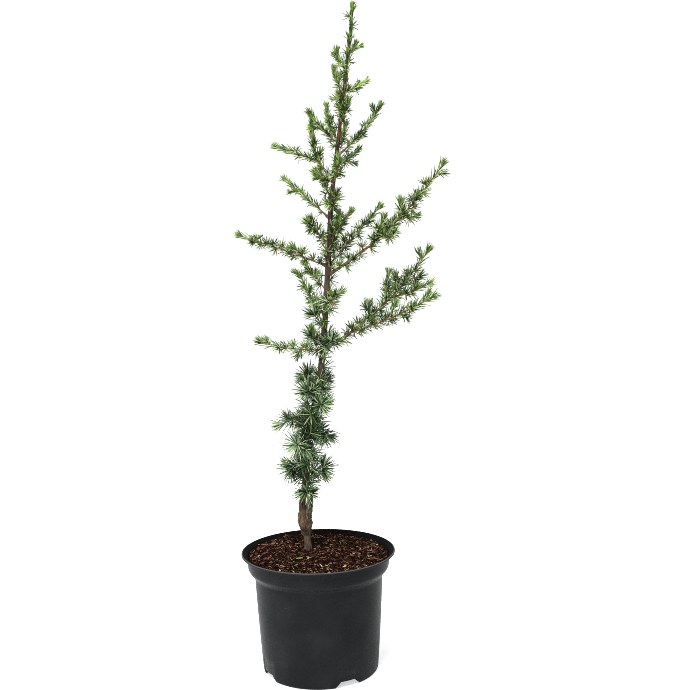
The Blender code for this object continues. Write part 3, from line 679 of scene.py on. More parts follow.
def moulded_polypropylene(settings):
    """Black polypropylene, injection moulded: a fine satin grain, faint cloudy marks, pale scuffs and a
    painted highlight on its lip.
    """
    made, tree, shader = new_material(
        "moulded_polypropylene", settings.plastic, Roughness=0.3, Specular_IOR_Level=0.055, IOR=1.49,
    )
    place = object_place(tree)
    clouds = add_node(tree, "ShaderNodeTexNoise", {"Vector": place, "Scale": per_metre(38), "Detail": 3.0})
    stops = shades(settings.plastic, PLASTIC_SHADES)
    dusty = add_node(tree, "ShaderNodeValToRGB", {"Fac": clouds.outputs["Fac"]}, stops=stops)
    # Scuffs run round the pot: wide across, low up and down
    level = object_place(tree, (0.35, 0.35, 7.0))
    scuffs = add_node(tree, "ShaderNodeTexNoise", {"Vector": level, "Scale": per_metre(9), "Detail": 5.0})
    scuffed = add_node(
        tree, "ShaderNodeMapRange",
        {"Value": scuffs.outputs["Fac"], "From Min": 0.7, "From Max": 0.86, "To Min": 0.0, "To Max": 0.45},
    )
    # The lip's upper edge is made pale by rubbing from hands and other pots, and by a painted highlight along
    # it
    height = add_node(tree, "ShaderNodeSeparateXYZ", {"Vector": place}).outputs["Z"]
    low, high = (POT_HEIGHT - PALE_LIP_FROM) * MM, (POT_HEIGHT - PALE_LIP_TO) * MM
    rubbed_and_highlit = add_node(
        tree, "ShaderNodeMapRange", {"Value": height, "From Min": low, "From Max": high, "To Max": 0.8},
    )
    # Scuffs and the lip's pale edge, with its painted highlight, take the scuffs' colour
    worn_and_highlit = add_node(
        tree, "ShaderNodeMath", {0: scuffed.outputs["Result"], 1: rubbed_and_highlit.outputs["Result"]},
        operation="MAXIMUM",
    )
    # Inputs 0, 6 and 7 of a colour mix are its share and its two colours, and output 2 is the colour
    mix = add_node(
        tree, "ShaderNodeMix", {0: worn_and_highlit.outputs["Value"], 7: (*settings.scuffs, 1.0)}, data_type="RGBA",
    )
    tree.links.new(dusty.outputs["Color"], mix.inputs[6])
    tree.links.new(mix.outputs[2], shader.inputs["Base Color"])
    gloss = add_node(
        tree, "ShaderNodeMapRange",
        {"Value": clouds.outputs["Fac"], "From Min": 0.3, "From Max": 0.7, "To Min": 0.25, "To Max": 0.35},
    )
    tree.links.new(gloss.outputs["Result"], shader.inputs["Roughness"])
    # The mould's grain is about 0.2 mm, drawn at 2.4 mm so that it shows
    grain = add_node(tree, "ShaderNodeTexNoise", {"Vector": place, "Scale": per_metre(2.4), "Detail": 2.0})
    finish_bump(tree, shader, grain.outputs["Fac"], 0.02)
    return made


def peat_stained_shaded_polypropylene():
    """The same plastic inside the pot, stained by damp peat and darkened further by painted shade: nearly
    black and dull, with brownish dust.
    """
    stops = [(0.4, linear("#050505")), (0.6, linear("#0a0908")), (0.78, linear("#1c1613"))]
    return mottled("peat_stained_shaded_polypropylene", stops, 5, 5.0, Roughness=0.6, Specular_IOR_Level=0.05)


def darken_inside(pot):
    """Gives the second material, with its painted shade, to the faces inside the mouth."""
    for face in pot.data.polygons:
        out = Vector((face.center.x, face.center.y, 0.0))
        inward = face.normal.dot(out.normalized()) < 0.1
        if inward and face.center.z > SHOULDER[0][1] * MM and out.length < MOUTH[-1][0] * MM:
            face.material_index = 1


def make_pot(settings):
    """Thin walled pot with a flanged lip, a stepped band and notched feet with drain holes."""
    plastic = moulded_polypropylene(settings)
    pot = add_bmesh("nursery_pot", turned(outer_outline(), settings.segments), [plastic], smooth_angle=32)
    above = POT_HEIGHT + NOTCH_HEIGHT
    room_outline = [(0.0, FLOOR), *inner_side(0.0), *MOUTH, (MOUTH[-1][0], above), (0.0, above)]
    room = add_bmesh("pot_room", turned(room_outline, settings.segments))
    boolean(room, "DIFFERENCE", add_bmesh("notch_hoods", notch_shapes(WALL)))
    boolean(pot, "DIFFERENCE", room)
    boolean(pot, "DIFFERENCE", add_bmesh("notch_cutters", notch_shapes(0.0)))
    boolean(pot, "DIFFERENCE", add_bmesh("drain_cutters", drain_shapes()))
    # The inside of the mouth gets a darker plastic: peat stain and painted shade
    pot.data.materials.append(peat_stained_shaded_polypropylene())
    darken_inside(pot)
    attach(pot, "root")
    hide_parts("pot")


# Soil


def soil_height(x, y):
    """Height of the soil's uneven, slightly domed top, level round the trunk's foot."""
    turn = math.atan2(y, x)
    share = math.hypot(x, y) / SOIL_RADIUS
    waves = sum(size * math.sin(number * turn + start) for size, number, start in SOIL_WAVES)
    height = SOIL_TOP + SOIL_DOME + share * waves - SOIL_EDGE_DROP * share ** 2
    _, foot_x, foot_y = TRUNK_SPINE[0]
    away = math.hypot(x - foot_x, y - foot_y) / SOIL_SEAT_RADIUS - 1.0
    blend = min(max(away, 0.0), 1.0)
    return SOIL_TOP + (height - SOIL_TOP) * blend


def crumb_height(x, y, depth):
    """Soil height with coarse and fine crumbs on it."""
    coarse = noise.noise(Vector((x / COARSE_CRUMB, y / COARSE_CRUMB, 3.1)))
    fine = noise.noise(Vector((x / FINE_CRUMB, y / FINE_CRUMB, 8.7)))
    return soil_height(x, y) + depth * (COARSE_SHARE * coarse + FINE_SHARE * fine)


def milled_peat(tint):
    """Milled peat and fine bark, pressed in the pot: dark, matt and crumbly, reddish and black in patches,
    the black in the dents of its bump as painted shade.
    """
    # The darkest stops follow the bump's dents: painted shade in the gaps between crumbs
    stops = tinted(tint, ((0.36, "#020101"), (0.48, "#0d0705"), (0.58, "#27140d"), (0.72, "#553122")))
    return mottled("milled_peat", stops, 2.2, 6.0, bump_mm=0.9, Roughness=0.95, Specular_IOR_Level=0.03)


def shredded_bark(tint):
    """Shredded bark and peat fibre: torn, dry flakes whose colour changes from flake to flake."""
    made, tree, shader = new_material(
        "shredded_bark", linear("#5a3a2a"), Roughness=0.88, Specular_IOR_Level=0.1,
    )
    each_flake = add_node(tree, "ShaderNodeNewGeometry").outputs["Random Per Island"]
    stops = (
        (0.0, "#080403"), (0.34, "#1c0e09"), (0.58, "#3f2317"), (0.76, "#633a29"),
        (0.88, "#865a45"), (0.96, "#ab8970"), (1.0, "#cdb59c"),
    )
    colour = add_node(tree, "ShaderNodeValToRGB", {"Fac": each_flake}, stops=tinted(tint, stops))
    place = object_place(tree)
    # Fibres along a flake are about 0.3 mm, drawn at 0.8 mm so that they show
    fibres = add_node(tree, "ShaderNodeTexNoise", {"Vector": place, "Scale": per_metre(0.8), "Detail": 3.0})
    shade = add_node(
        tree, "ShaderNodeMapRange",
        {"Value": fibres.outputs["Fac"], "From Min": 0.35, "From Max": 0.65, "To Min": 0.55, "To Max": 1.15},
    )
    shaded = add_node(
        tree, "ShaderNodeVectorMath", {0: colour.outputs["Color"], "Scale": shade.outputs["Result"]},
        operation="SCALE",
    )
    tree.links.new(shaded.outputs["Vector"], shader.inputs["Base Color"])
    finish_bump(tree, shader, fibres.outputs["Fac"], 0.3)
    return made


def dried_moss(tint):
    """Specks of moss and shed needles, dried: matt, yellowish green."""
    stops = tinted(tint, ((0.4, "#5f7038"), (0.65, "#a5a468")))
    return mottled("dried_moss", stops, 3.0, 2.0, Roughness=0.9, Specular_IOR_Level=0.2)


def soil_bed(settings):
    """Closed plug of soil with a crumbly top, inside the pot's wall and above the notches' hoods."""
    bm = bmesh.new()
    count = settings.segments
    turns = [math.tau * k / count for k in range(count)]

    def ring(radius, height=None):
        """Ring of vertices at a height, or on the crumbly top, which is smooth at the pot's wall."""
        spots = [(radius * math.cos(a), radius * math.sin(a)) for a in turns]
        rim = min((SOIL_RADIUS - radius) / 3.0, 1.0)
        depth = settings.crumb_depth / MM * rim
        return [bm.verts.new(Vector((x, y, height or crumb_height(x, y, depth))) * MM) for x, y in spots]

    side = [(r, z) for r, z in inner_side(SOIL_CLEAR) if z > SOIL_UNDERSIDE]
    rings = [ring(side[0][0], SOIL_UNDERSIDE)] + [ring(r, z) for r, z in side]
    radius = SOIL_RADIUS - 0.2
    step = settings.ring_step / MM
    while radius > step:
        rings.append(ring(radius))
        radius -= step
    for low, high in zip(rings, rings[1:]):
        bridge(bm, low, high)
    bm.faces.new(rings[0])
    middle = bm.verts.new(Vector((0.0, 0.0, crumb_height(0.0, 0.0, 1.0))) * MM)
    for k, vert in enumerate(rings[-1]):
        bm.faces.new((vert, rings[-1][(k + 1) % count], middle))
    return bm


def flake(gather, rng, spot, size, slot=0):
    """One torn flake: a bent strip with uneven edges, lying on or standing a little out of the soil."""
    length, width, thick = size
    turn = Euler((rng.gauss(0, FLAKE_LEAN), rng.gauss(0, FLAKE_ROLL), rng.uniform(0, math.tau))).to_matrix()
    bend = rng.uniform(*FLAKE_BEND) * length
    verts = []
    for share in FLAKE_RINGS:
        narrow = 1.0 - FLAKE_TAPER * abs(share) ** FLAKE_TAPER_POWER + rng.uniform(*FLAKE_RAGGED)
        lift = bend * (0.25 - share * share) * 2.0
        for side, up in ((-1, -1), (1, -1), (1, 1), (-1, 1)):
            y = side * width / 2 * max(narrow, FLAKE_LEAST_WIDTH) + rng.uniform(*FLAKE_SHIFT) * width
            verts.append(turn @ Vector((share * length, y, lift + up * thick / 2)) * MM + spot)
    gather.add(verts, [(3, 2, 1, 0), (12, 13, 14, 15), *sleeve(len(FLAKE_RINGS) - 1, 4)], slot)


def flake_size(rng):
    """Length of one flake, large or small."""
    large = rng.random() < LARGE_FLAKE_SHARE
    return rng.uniform(*LARGE_FLAKE) if large else rng.uniform(*SMALL_FLAKE)


def make_soil(settings):
    """Bed of peat with bark flakes, fibres and a few specks of moss on it."""
    bed = add_bmesh("soil_bed", soil_bed(settings), [milled_peat(settings.tint)], smooth_angle=80)
    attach(bed, "root")
    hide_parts("soil")
    rng = random.Random(SEED)
    gather = Gather()
    for _ in range(settings.flakes):
        length = flake_size(rng)
        radius = (SOIL_RADIUS - FLAKE_EDGE_CLEAR - length / 2) * math.sqrt(rng.random())
        turn = rng.uniform(0, math.tau)
        x, y = radius * math.cos(turn), radius * math.sin(turn)
        z = crumb_height(x, y, settings.crumb_depth / MM) + rng.uniform(*FLAKE_LIFT)
        width = min(max(length * rng.choice(FLAKE_WIDTHS), FLAKE_NARROWEST), FLAKE_WIDEST)
        size = (length, width, rng.uniform(*FLAKE_THICKNESS))
        flake(gather, rng, Vector((x, y, z)) * MM, size, 1 if rng.random() < MOSS_SHARE else 0)
    kinds = [shredded_bark(settings.tint), dried_moss(settings.tint)]
    flakes = gather.make("soil_flakes", kinds, smooth_angle=30)
    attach(flakes, "root")


# Paths, by the part's own rule


def direction(azimuth, rise):
    """Unit vector of an azimuth and a slope in degrees."""
    turn, slope = math.radians(azimuth), math.radians(rise)
    return Vector((math.cos(slope) * math.cos(turn), math.cos(slope) * math.sin(turn), math.sin(slope)))


def spine_value(height, column):
    """Smooth x (column 1) or y (column 2) of the trunk's centre line at a height."""
    rows = TRUNK_SPINE
    last = len(rows) - 2
    at = next((i for i in range(last) if height < rows[i + 1][0]), last)
    slopes = []
    for i in (at, at + 1):
        before, after = rows[max(i - 1, 0)], rows[min(i + 1, last + 1)]
        slopes.append((after[column] - before[column]) / (after[0] - before[0]))
    low, high = rows[at], rows[at + 1]
    span = high[0] - low[0]
    t = (height - low[0]) / span
    return (
        (2 * t ** 3 - 3 * t ** 2 + 1) * low[column] + (t ** 3 - 2 * t ** 2 + t) * span * slopes[0]
        + (3 * t ** 2 - 2 * t ** 3) * high[column] + (t ** 3 - t ** 2) * span * slopes[1]
    )


def trunk_centre(height):
    """Trunk's centre in metres at a height in millimetres."""
    return Vector((spine_value(height, 1), spine_value(height, 2), height)) * MM


def trunk_radius(height):
    """Trunk's radius in millimetres: its taper, the flare at the soil and the swelling of the graft."""
    low, high = TRUNK_SPINE[0][0], TRUNK_SPINE[-1][0]
    share = min((height - low) / (high - low), 1.0)
    taper = TRUNK_TIP_RADIUS + (TRUNK_FOOT_RADIUS - TRUNK_TIP_RADIUS) * (1 - share ** TRUNK_TAPER)
    flare = ROOT_FLARE * math.exp((low - height) / ROOT_FLARE_FADE)
    swell = GRAFT_SWELL * math.exp(-((height - GRAFT_HEIGHT) / GRAFT_REACH) ** 2)
    return taper + flare + swell


def core_radius(length, share):
    """Radius of a shoot's wood in millimetres at a share of its length."""
    foot = max(BOUGH_FOOT_RADIUS + BOUGH_RADIUS_PER_LENGTH * length, CORE_FOOT_RADIUS)
    return foot + (CORE_TIP_RADIUS - foot) * share


def walk(start, azimuth, rise, rise_end, length):
    """Points in metres along a shoot whose slope turns evenly from rise to rise_end."""
    steps = max(2, round(length / PATH_STEP))
    points = [start.copy()]
    for index in range(steps):
        slope = rise + (rise_end - rise) * (index + 0.5) / steps
        points.append(points[-1] + direction(azimuth, slope) * (length * MM / steps))
    return points


def path_length(points):
    """Length of a path in metres."""
    return sum((b - a).length for a, b in zip(points, points[1:]))


def place_along(points, distance):
    """Point and heading at a distance along a path."""
    for a, b in zip(points, points[1:]):
        step = (b - a).length
        if distance <= step or b is points[-1]:
            heading = (b - a).normalized()
            return a + heading * distance, heading
        distance -= step


def across(heading, hint):
    """Two unit vectors across a heading, the first as near the hint as it can be."""
    side = (hint - heading * hint.dot(heading)).normalized()
    return side, heading.cross(side)


def turned_to(side, up, turn):
    """Direction across a heading, turned from one of two directions across it towards the other."""
    return side * math.cos(turn) + up * math.sin(turn)


def first_hint(heading):
    """A direction that isn't along the heading."""
    return Vector((0, 0, 1)) if abs(heading.z) < 0.9 else Vector((1, 0, 0))


def foot_on(centre, limb_radius, azimuth, rise, radius):
    """Place where a shoot's foot comes clear of the limb that carries it."""
    slope = math.radians(min(abs(rise), 70.0))
    reach = (limb_radius + radius * math.sin(slope) + GAP) / math.cos(slope)
    return centre + direction(azimuth, rise) * reach * MM


def seeded_twigs(points, rng):
    """Short twigs that branch off a shoot by the source's seeded rule."""
    length = path_length(points)
    count = round(length / (TWIG_SPACING * MM) + TWIG_COUNT_BIAS)
    turn = rng.uniform(0, 360)
    twigs = []
    for index in range(count):
        share = (index + rng.uniform(*TWIG_PLACE)) / count
        foot, heading = place_along(points, share * length)
        side, up = across(heading, first_hint(heading))
        turn += math.degrees(GOLDEN_ANGLE)
        outward = turned_to(side, up, math.radians(turn))
        splay = math.radians(rng.uniform(*TWIG_SPLAY))
        reach = (heading * math.cos(splay) + outward * math.sin(splay)) * rng.uniform(*TWIG_LENGTH) * MM
        twigs.append([foot, foot + reach])
    return twigs


# A stem that carries needles: its mass in the part, its height on the trunk, its path from inside its limb,
# the distance to its first needles, its radii at foot and tip, its needles' length, and how they stand
Stem = namedtuple("Stem", "mass height points start radii needle habit")


def habit_of(shoot, needle, length):
    """How the needles stand on a shoot of this age and length."""
    if shoot.name in COMB_SHOOTS:
        return "comb"
    if needle >= GLAUCOUS_NEEDLE:
        return "rosette" if length <= ROSETTE_LENGTH else "glaucous"
    return "young" if needle <= YOUNG_NEEDLE else "older"


def path_from(centre, limb_radius, shoot):
    """Path of a shoot, from the place where its foot comes clear of the limb that carries it."""
    foot = foot_on(centre, limb_radius, shoot.azimuth, shoot.rise, core_radius(shoot.length, 0))
    return walk(foot, shoot.azimuth, shoot.rise, shoot.rise_end, shoot.length)


def shoot_paths():
    """For each shoot: where it leaves the middle of its limb, its height on the trunk, and its path."""
    paths = {}
    for shoot in SHOOTS:
        centre = trunk_centre(shoot.height)
        paths[shoot] = (centre, shoot.height, path_from(centre, trunk_radius(shoot.height), shoot))
    parent = next(s for s in SHOOTS if s.name == LOW_FORK_PARENT)
    _, height, bough = paths[parent]
    centre, _ = place_along(bough, LOW_FORK.height * parent.bare * MM)
    share = LOW_FORK.height * parent.bare / parent.length
    paths[LOW_FORK] = (centre, height, path_from(centre, core_radius(parent.length, share), LOW_FORK))
    return paths


def stems_of(shoot, index, centre, height, path):
    """Stem of a shoot, followed by its side shoots and its seeded twigs."""
    radii = (core_radius(shoot.length, 0), CORE_TIP_RADIUS)
    start = (path[0] - centre).length / MM + shoot.bare
    habit = habit_of(shoot, shoot.needle, shoot.length)
    points = [centre, *trimmed(path, shoot.needle)]
    stems = [Stem(shoot.name, height, points, start, radii, shoot.needle, habit)]
    for side in (s for s in SIDES if s.parent == shoot.name):
        foot, _ = place_along(path, side.place * path_length(path))
        points = trimmed(walk(foot, side.azimuth, side.rise, side.rise_end, side.length), side.needle)
        radii = (core_radius(side.length, 0), CORE_TIP_RADIUS)
        habit = habit_of(shoot, side.needle, max(side.length, ROSETTE_LENGTH + 1))
        stems.append(Stem(shoot.name, height, points, SIDE_START, radii, side.needle, habit))
    needled = stretch(path, shoot.bare * MM + GAP * MM) if shoot.bare else path
    radii = (TWIG_RADIUS, CORE_TIP_RADIUS * TWIG_TIP_SHARE)
    for points in seeded_twigs(needled, random.Random(SEED + index)):
        needle = shoot.needle * TWIG_NEEDLE_SHARE
        stems.append(Stem(shoot.name, height, points, TWIG_START, radii, needle, "twig"))
    return stems


def plan_stems():
    """Every stem of the plant by the part's own rule, and each bough's shoot, path and length."""
    stems, boughs = [], []
    for index, (shoot, place) in enumerate(shoot_paths().items()):
        grown = stems_of(shoot, index, *place)
        stems.extend(grown)
        if shoot.bare:
            boughs.append((shoot, grown[0].points, grown[0].start))
    top = TRUNK_SPINE[-1][0]
    leader = [trunk_centre(height) for height in np.linspace(LEADER_NEEDLES, top, LEADER_POINTS)]
    radii = (trunk_radius(LEADER_NEEDLES), TRUNK_TIP_RADIUS)
    stems.append(Stem("leader_tip", top, leader, 0.0, radii, LEADER_NEEDLE, "leader"))
    return stems, boughs


def clipped(points, end):
    """Path up to a distance in millimetres from its foot."""
    kept, run = [points[0]], 0.0
    for a, b in zip(points, points[1:]):
        run += (b - a).length / MM
        if run >= end:
            break
        kept.append(b)
    kept.append(place_along(points, end * MM)[0])
    return kept


def trimmed(path, needle):
    """Path that ends short of its tip, to leave room for the needles there; a rosette's path stays whole."""
    length = path_length(path) / MM
    return path if length <= ROSETTE_LENGTH else clipped(path, length - TIP_TRIM * needle)


def stretch(points, start):
    """Part of a path from a distance on."""
    length = path_length(points)
    count = max(2, round((length - start) / (PATH_STEP * MM)) + 1)
    return [place_along(points, d)[0] for d in np.linspace(start, length, count)]


# Bark of the trunk and boughs


def tube(points, radius_at, sides, step, roughness, rng):
    """Vertices and faces of a closed tube along a path, with uneven rings and a domed tip."""
    length = path_length(points) / MM
    bands = max(3, round(length / step))
    hint = first_hint((points[1] - points[0]).normalized())
    verts = []
    for ring in range(bands + 1):
        share = ring / bands
        centre, heading = place_along(points, share * length * MM)
        side, up = across(heading, hint)
        hint = side
        radius = radius_at(share * length)
        for k in range(sides):
            uneven = 1.0 + rng.uniform(-roughness, roughness)
            verts.append(centre + turned_to(side, up, math.tau * k / sides) * radius * uneven * MM)
    tip = len(verts)
    verts.append(centre + heading * radius * TIP_DOME * MM)
    last = bands * sides
    dome = [(last + k, last + (k + 1) % sides, tip) for k in range(sides)]
    return verts, [*sleeve(bands, sides), tuple(reversed(range(sides))), *dome]


def fissures(angle, height, radius):
    """Relief of the bark in millimetres: long ridges with furrows between, and scales on them."""
    x, y = math.cos(angle) * radius, math.sin(angle) * radius
    ridge = noise.noise(Vector((x / RIDGE_WIDTH, y / RIDGE_WIDTH, height / RIDGE_LENGTH)))
    scale = noise.noise(Vector((x / SCALE_WIDTH, y / SCALE_WIDTH, height / SCALE_LENGTH + 40.0)))
    return RIDGE_DEPTH * ridge + SCALE_DEPTH * scale


def graft_lumps(angle, height, radius):
    """Uneven swellings of the graft in millimetres."""
    near = math.exp(-((height - GRAFT_HEIGHT) / (GRAFT_REACH * GRAFT_LUMP_REACH)) ** 2)
    x, y = math.cos(angle) * radius, math.sin(angle) * radius
    spot = Vector((x / GRAFT_LUMP_WIDTH, y / GRAFT_LUMP_WIDTH, height / GRAFT_LUMP_LENGTH))
    return near * GRAFT_LUMP_DEPTH * noise.noise(spot)


def collar_swell(spot, collars):
    """How far the trunk swells at a spot for the feet of the shoots near it, in millimetres."""
    swell = 0.0
    for foot, reach in collars:
        away = (spot - foot).length / reach
        if away < COLLAR_END:
            swell += COLLAR_SWELL * reach * math.exp(-away * away)
    return swell


def trunk_shape(settings, collars):
    """Bark of the trunk: ridged, with a collar where each shoot leaves it."""
    low, high = TRUNK_SPINE[0][0], TRUNK_SPINE[-1][0]
    bands = round((high - low) / (settings.ring_step / MM))
    sides = settings.sides
    verts = []
    for ring in range(bands + 1):
        height = low + (high - low) * ring / bands
        centre = Vector((spine_value(height, 1), spine_value(height, 2), height))
        radius = trunk_radius(height)
        depth = settings.relief * min(radius / FULL_RELIEF_RADIUS, 1.0)
        for k in range(sides):
            angle = math.tau * k / sides
            out = Vector((math.cos(angle), math.sin(angle), 0.0))
            size = radius + depth * fissures(angle, height, radius) + graft_lumps(angle, height, radius)
            size += collar_swell(centre + out * radius, collars)
            verts.append((centre + out * size) * MM)
    ends = [tuple(reversed(range(sides))), tuple(bands * sides + k for k in range(sides))]
    return verts, sleeve(bands, sides) + ends


def stub_shape(rng):
    """Bark of the pruned stub beside the trunk: lumpy, with a rounded end."""
    foot, end = Vector(STUB_FOOT) * MM, Vector(STUB_END) * MM
    length = (end - foot).length / MM

    def radius_at(distance):
        """Radius in millimetres at a distance from the foot."""
        share = distance / length
        lumpy = STUB_LUMP * noise.noise(Vector((distance / STUB_LUMP_LENGTH, 2.0, 5.0)))
        past = max(share - STUB_ROUND_FROM, 0.0)
        rounded = math.sqrt(max(1.0 - past ** 2 / STUB_ROUNDNESS, STUB_END_SHARE))
        return (STUB_RADII[0] + (STUB_RADII[1] - STUB_RADII[0]) * share + lumpy) * rounded

    return tube([foot, end], radius_at, *STUB_TUBE, rng)


def bough_shape(shoot, points, length, rng):
    """Bark of one bough: tapering and knotty, swollen at its foot."""
    full = path_length(points) / MM
    foot = core_radius(shoot.length, 0)
    swelling, place, reach = BOUGH_SWELL
    knot, knot_length = BOUGH_KNOTS

    def radius_at(distance):
        """Radius in millimetres at a distance from the foot."""
        swell = swelling * math.exp(-((distance - place) / reach) ** 2)
        knots = knot * noise.noise(Vector((distance / knot_length, shoot.height, 0.0)))
        return (foot + (CORE_TIP_RADIUS - foot) * distance / full) * WOOD_SHARE + swell + knots

    return tube(clipped(points, length), radius_at, *BOUGH_TUBE, rng)


def weathered_bark(tint):
    """Cedar bark, grown and weathered: dark furrows between paler grey-brown ridges, redder near the top."""
    made, tree, shader = new_material("weathered_cedar_bark", linear("#4b3728"), Roughness=0.86)
    shader.inputs["Specular IOR Level"].default_value = 0.3
    height = add_node(tree, "ShaderNodeSeparateXYZ", {"Vector": object_place(tree)}).outputs["Z"]
    along = add_node(
        tree, "ShaderNodeMapRange",
        {"Value": height, "From Min": SOIL_TOP * MM, "From Max": TRUNK_SPINE[-1][0] * MM},
    )
    # From the soil to the tip, where the leader's young wood is green
    stops = (
        (0.0, "#6c5c4c"), (0.08, "#735b48"), (0.16, "#6a5040"), (0.35, "#564739"),
        (0.6, "#523f31"), (0.8, "#583a26"), (1.0, "#5a6030"),
    )
    ridge_colour = add_node(
        tree, "ShaderNodeValToRGB", {"Fac": along.outputs["Result"]}, stops=tinted(tint, stops),
    )
    # Ridges are 1 to 2 mm wide and about eight times as long
    long_way = object_place(tree, (1.0, 1.0, 0.13))
    ridges = add_node(
        tree, "ShaderNodeTexNoise",
        {"Vector": long_way, "Scale": per_metre(1.6), "Detail": 6.0, "Roughness": 0.62},
    )
    depth = add_node(
        tree, "ShaderNodeMapRange",
        {"Value": ridges.outputs["Fac"], "From Min": 0.4, "From Max": 0.62, "To Min": 0.16, "To Max": 1.15},
    )
    shaded = add_node(
        tree, "ShaderNodeVectorMath", {0: ridge_colour.outputs["Color"], "Scale": depth.outputs["Result"]},
        operation="SCALE",
    )
    tree.links.new(shaded.outputs["Vector"], shader.inputs["Base Color"])
    finish_bump(tree, shader, ridges.outputs["Fac"], 0.5)
    return made


def callused_bark(tint):
    """Bark of the pruned stub, healed over: smoother, greenish grey, with scaly patches."""
    stops = tinted(tint, ((0.36, "#1f1b14"), (0.48, "#4a4436"), (0.6, "#6f6552"), (0.74, "#8e7d68")))
    return mottled("callused_bark", stops, 2.4, 5.0, bump_mm=0.5, stretch=(1.0, 1.0, 0.5), Roughness=0.85)


def twig_bark(name, tint, tones):
    """Thin bark of a cedar twig, grown in one or two years: matt, with small darker scars of shed needles."""
    stops = tinted(tint, zip((0.36, 0.52, 0.68), tones))
    return mottled(name, stops, 1.1, 4.0, bump_mm=0.25, breakup=0.6, Roughness=0.75)


def make_bark(settings):
    """Trunk with its graft, stub and collars, and the boughs, in one mesh with the bark's relief."""
    stems, boughs = plan_stems()
    rng = random.Random(BARK_SEED)
    collars = [
        (s.points[1] / MM, COLLAR_REACH + COLLAR_REACH_PER_RADIUS * s.radii[0])
        for s in stems if s.habit != "twig" and s.start > SIDE_START
    ]
    gather = Gather()
    gather.add(*trunk_shape(settings, collars), 0)
    gather.add(*stub_shape(rng), 1)
    for shoot, points, length in boughs:
        gather.add(*bough_shape(shoot, points, length, rng), 2)
    barks = [
        weathered_bark(settings.tint),
        callused_bark(settings.tint),
        twig_bark("bough_bark_ridged", settings.tint, BOUGH_TONES),
    ]
    bark = gather.make("trunk_and_boughs", barks, smooth_angle=50)
    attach(bark, "root")
    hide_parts("trunk", *["bough_" + shoot.name for shoot, _, _ in boughs])


# Twigs and needles


Needle = namedtuple("Needle", "root lean length width curl tone")
# What the dressing of a stem adds to, which is needles and (foot, tip) of spurs, and what it draws from
Crown = namedtuple("Crown", "needles spurs rng settings")


def tone_of(rng, height, share, needle):
    """Tone of one spray: bluer and duller low down, fresher towards the top and the shoot's tip."""
    blue = needle >= GLAUCOUS_NEEDLE
    climb = (height - CLIMB_FROM) / CLIMB_SPAN + CLIMB_OF_TIP * share
    age = "old" if blue else "mixed" if climb < MIXED_BELOW else "green" if climb < GREEN_BELOW else "new"
    if height >= TRUNK_SPINE[-1][0]:
        age = "leader"
    elif share > NEW_FROM and not blue:
        age = "new" if rng.random() < NEW_AT_TIPS else age
    if rng.random() < (NEW_AMONG_OLD if blue else 0.0):
        age = "new"
    if rng.random() < DEAD_SHARE * (1.0 - share):
        return "brown" if rng.random() < BROWN_OF_DEAD else "straw"
    tones = AGES[age]
    return tones[min(int(rng.random() * len(tones)), len(tones) - 1)]


def add_needle(crown, root, heading, outward, splay, length, tone):
    """One needle that leans from its stem's heading towards outward and curls slightly forward and up."""
    rng = crown.rng
    lean = heading * math.cos(splay) + outward * math.sin(splay)
    lean = (lean + Vector((0.0, 0.0, NEEDLE_LIFT))).normalized()
    drift = Vector((rng.gauss(0, NEEDLE_DRIFT), rng.gauss(0, NEEDLE_DRIFT), rng.gauss(0.02, NEEDLE_DRIFT)))
    curl = (heading * NEEDLE_CURL + drift) * length
    width = crown.settings.width * rng.uniform(*NEEDLE_WIDTHS)
    crown.needles.append(Needle(root, lean, length, width, curl, TONE_NAMES.index(tone)))


def tuft(crown, base, axis, count, needle, deal, spread):
    """Star of needles round the tip of a spur, in sprays; deal gives the tone of a spray."""
    side, up = across(axis, first_hint(axis))
    turn = crown.rng.uniform(0, math.tau)
    for index in range(count):
        if index % SPRAY == 0:
            tone = deal()
        turn += GOLDEN_ANGLE
        share = (index + 0.5) / count
        splay = spread[0] + (spread[1] - spread[0]) * math.sqrt(share)
        splay = math.radians(splay + crown.rng.gauss(0, TUFT_SPLAY_SPREAD))
        length = needle * MM * crown.rng.uniform(*TUFT_LENGTHS)
        add_needle(crown, base, axis, turned_to(side, up, turn), splay, length, tone)


def place_on(stem, distance, length):
    """Centre, heading, two directions across and the wood's radius at a distance along a stem."""
    centre, heading = place_along(stem.points, distance * MM)
    side, up = across(heading, first_hint((stem.points[1] - stem.points[0]).normalized()))
    wood = stem.radii[0] + (stem.radii[1] - stem.radii[0]) * distance / length
    return centre, heading, side, up, wood


def single_needles(crown, stem, habit, length, turn):
    """Needles one by one along a stem, in sprays of one tone; gives the turn that they end with."""
    rng = crown.rng
    needled = length - stem.start
    distance = stem.start + habit.single_start * needled
    left = 0
    while distance < length - BARE_TIP:
        share = (distance - stem.start) / needled
        if left == 0:
            tone = tone_of(rng, stem.height, share, stem.needle)
            left = rng.randint(*SPRAY_ALONG)
        left -= 1
        centre, heading, side, up, wood = place_on(stem, distance, length)
        turn += GOLDEN_ANGLE
        outward = turned_to(side, up, turn)
        splay = habit.splay_foot + (habit.splay_tip - habit.splay_foot) * share ** SPLAY_POWER
        splay += rng.gauss(0, SPLAY_SPREAD)
        size = stem.needle * MM * rng.uniform(*SINGLE_LENGTHS) * (FOOT_LENGTH + (1.0 - FOOT_LENGTH) * share)
        root = centre + outward * wood * ROOT_SINK * MM
        add_needle(crown, root, heading, outward, math.radians(splay), size, tone)
        distance += habit.single / crown.settings.density * rng.uniform(*SINGLE_STEPS)
    return turn


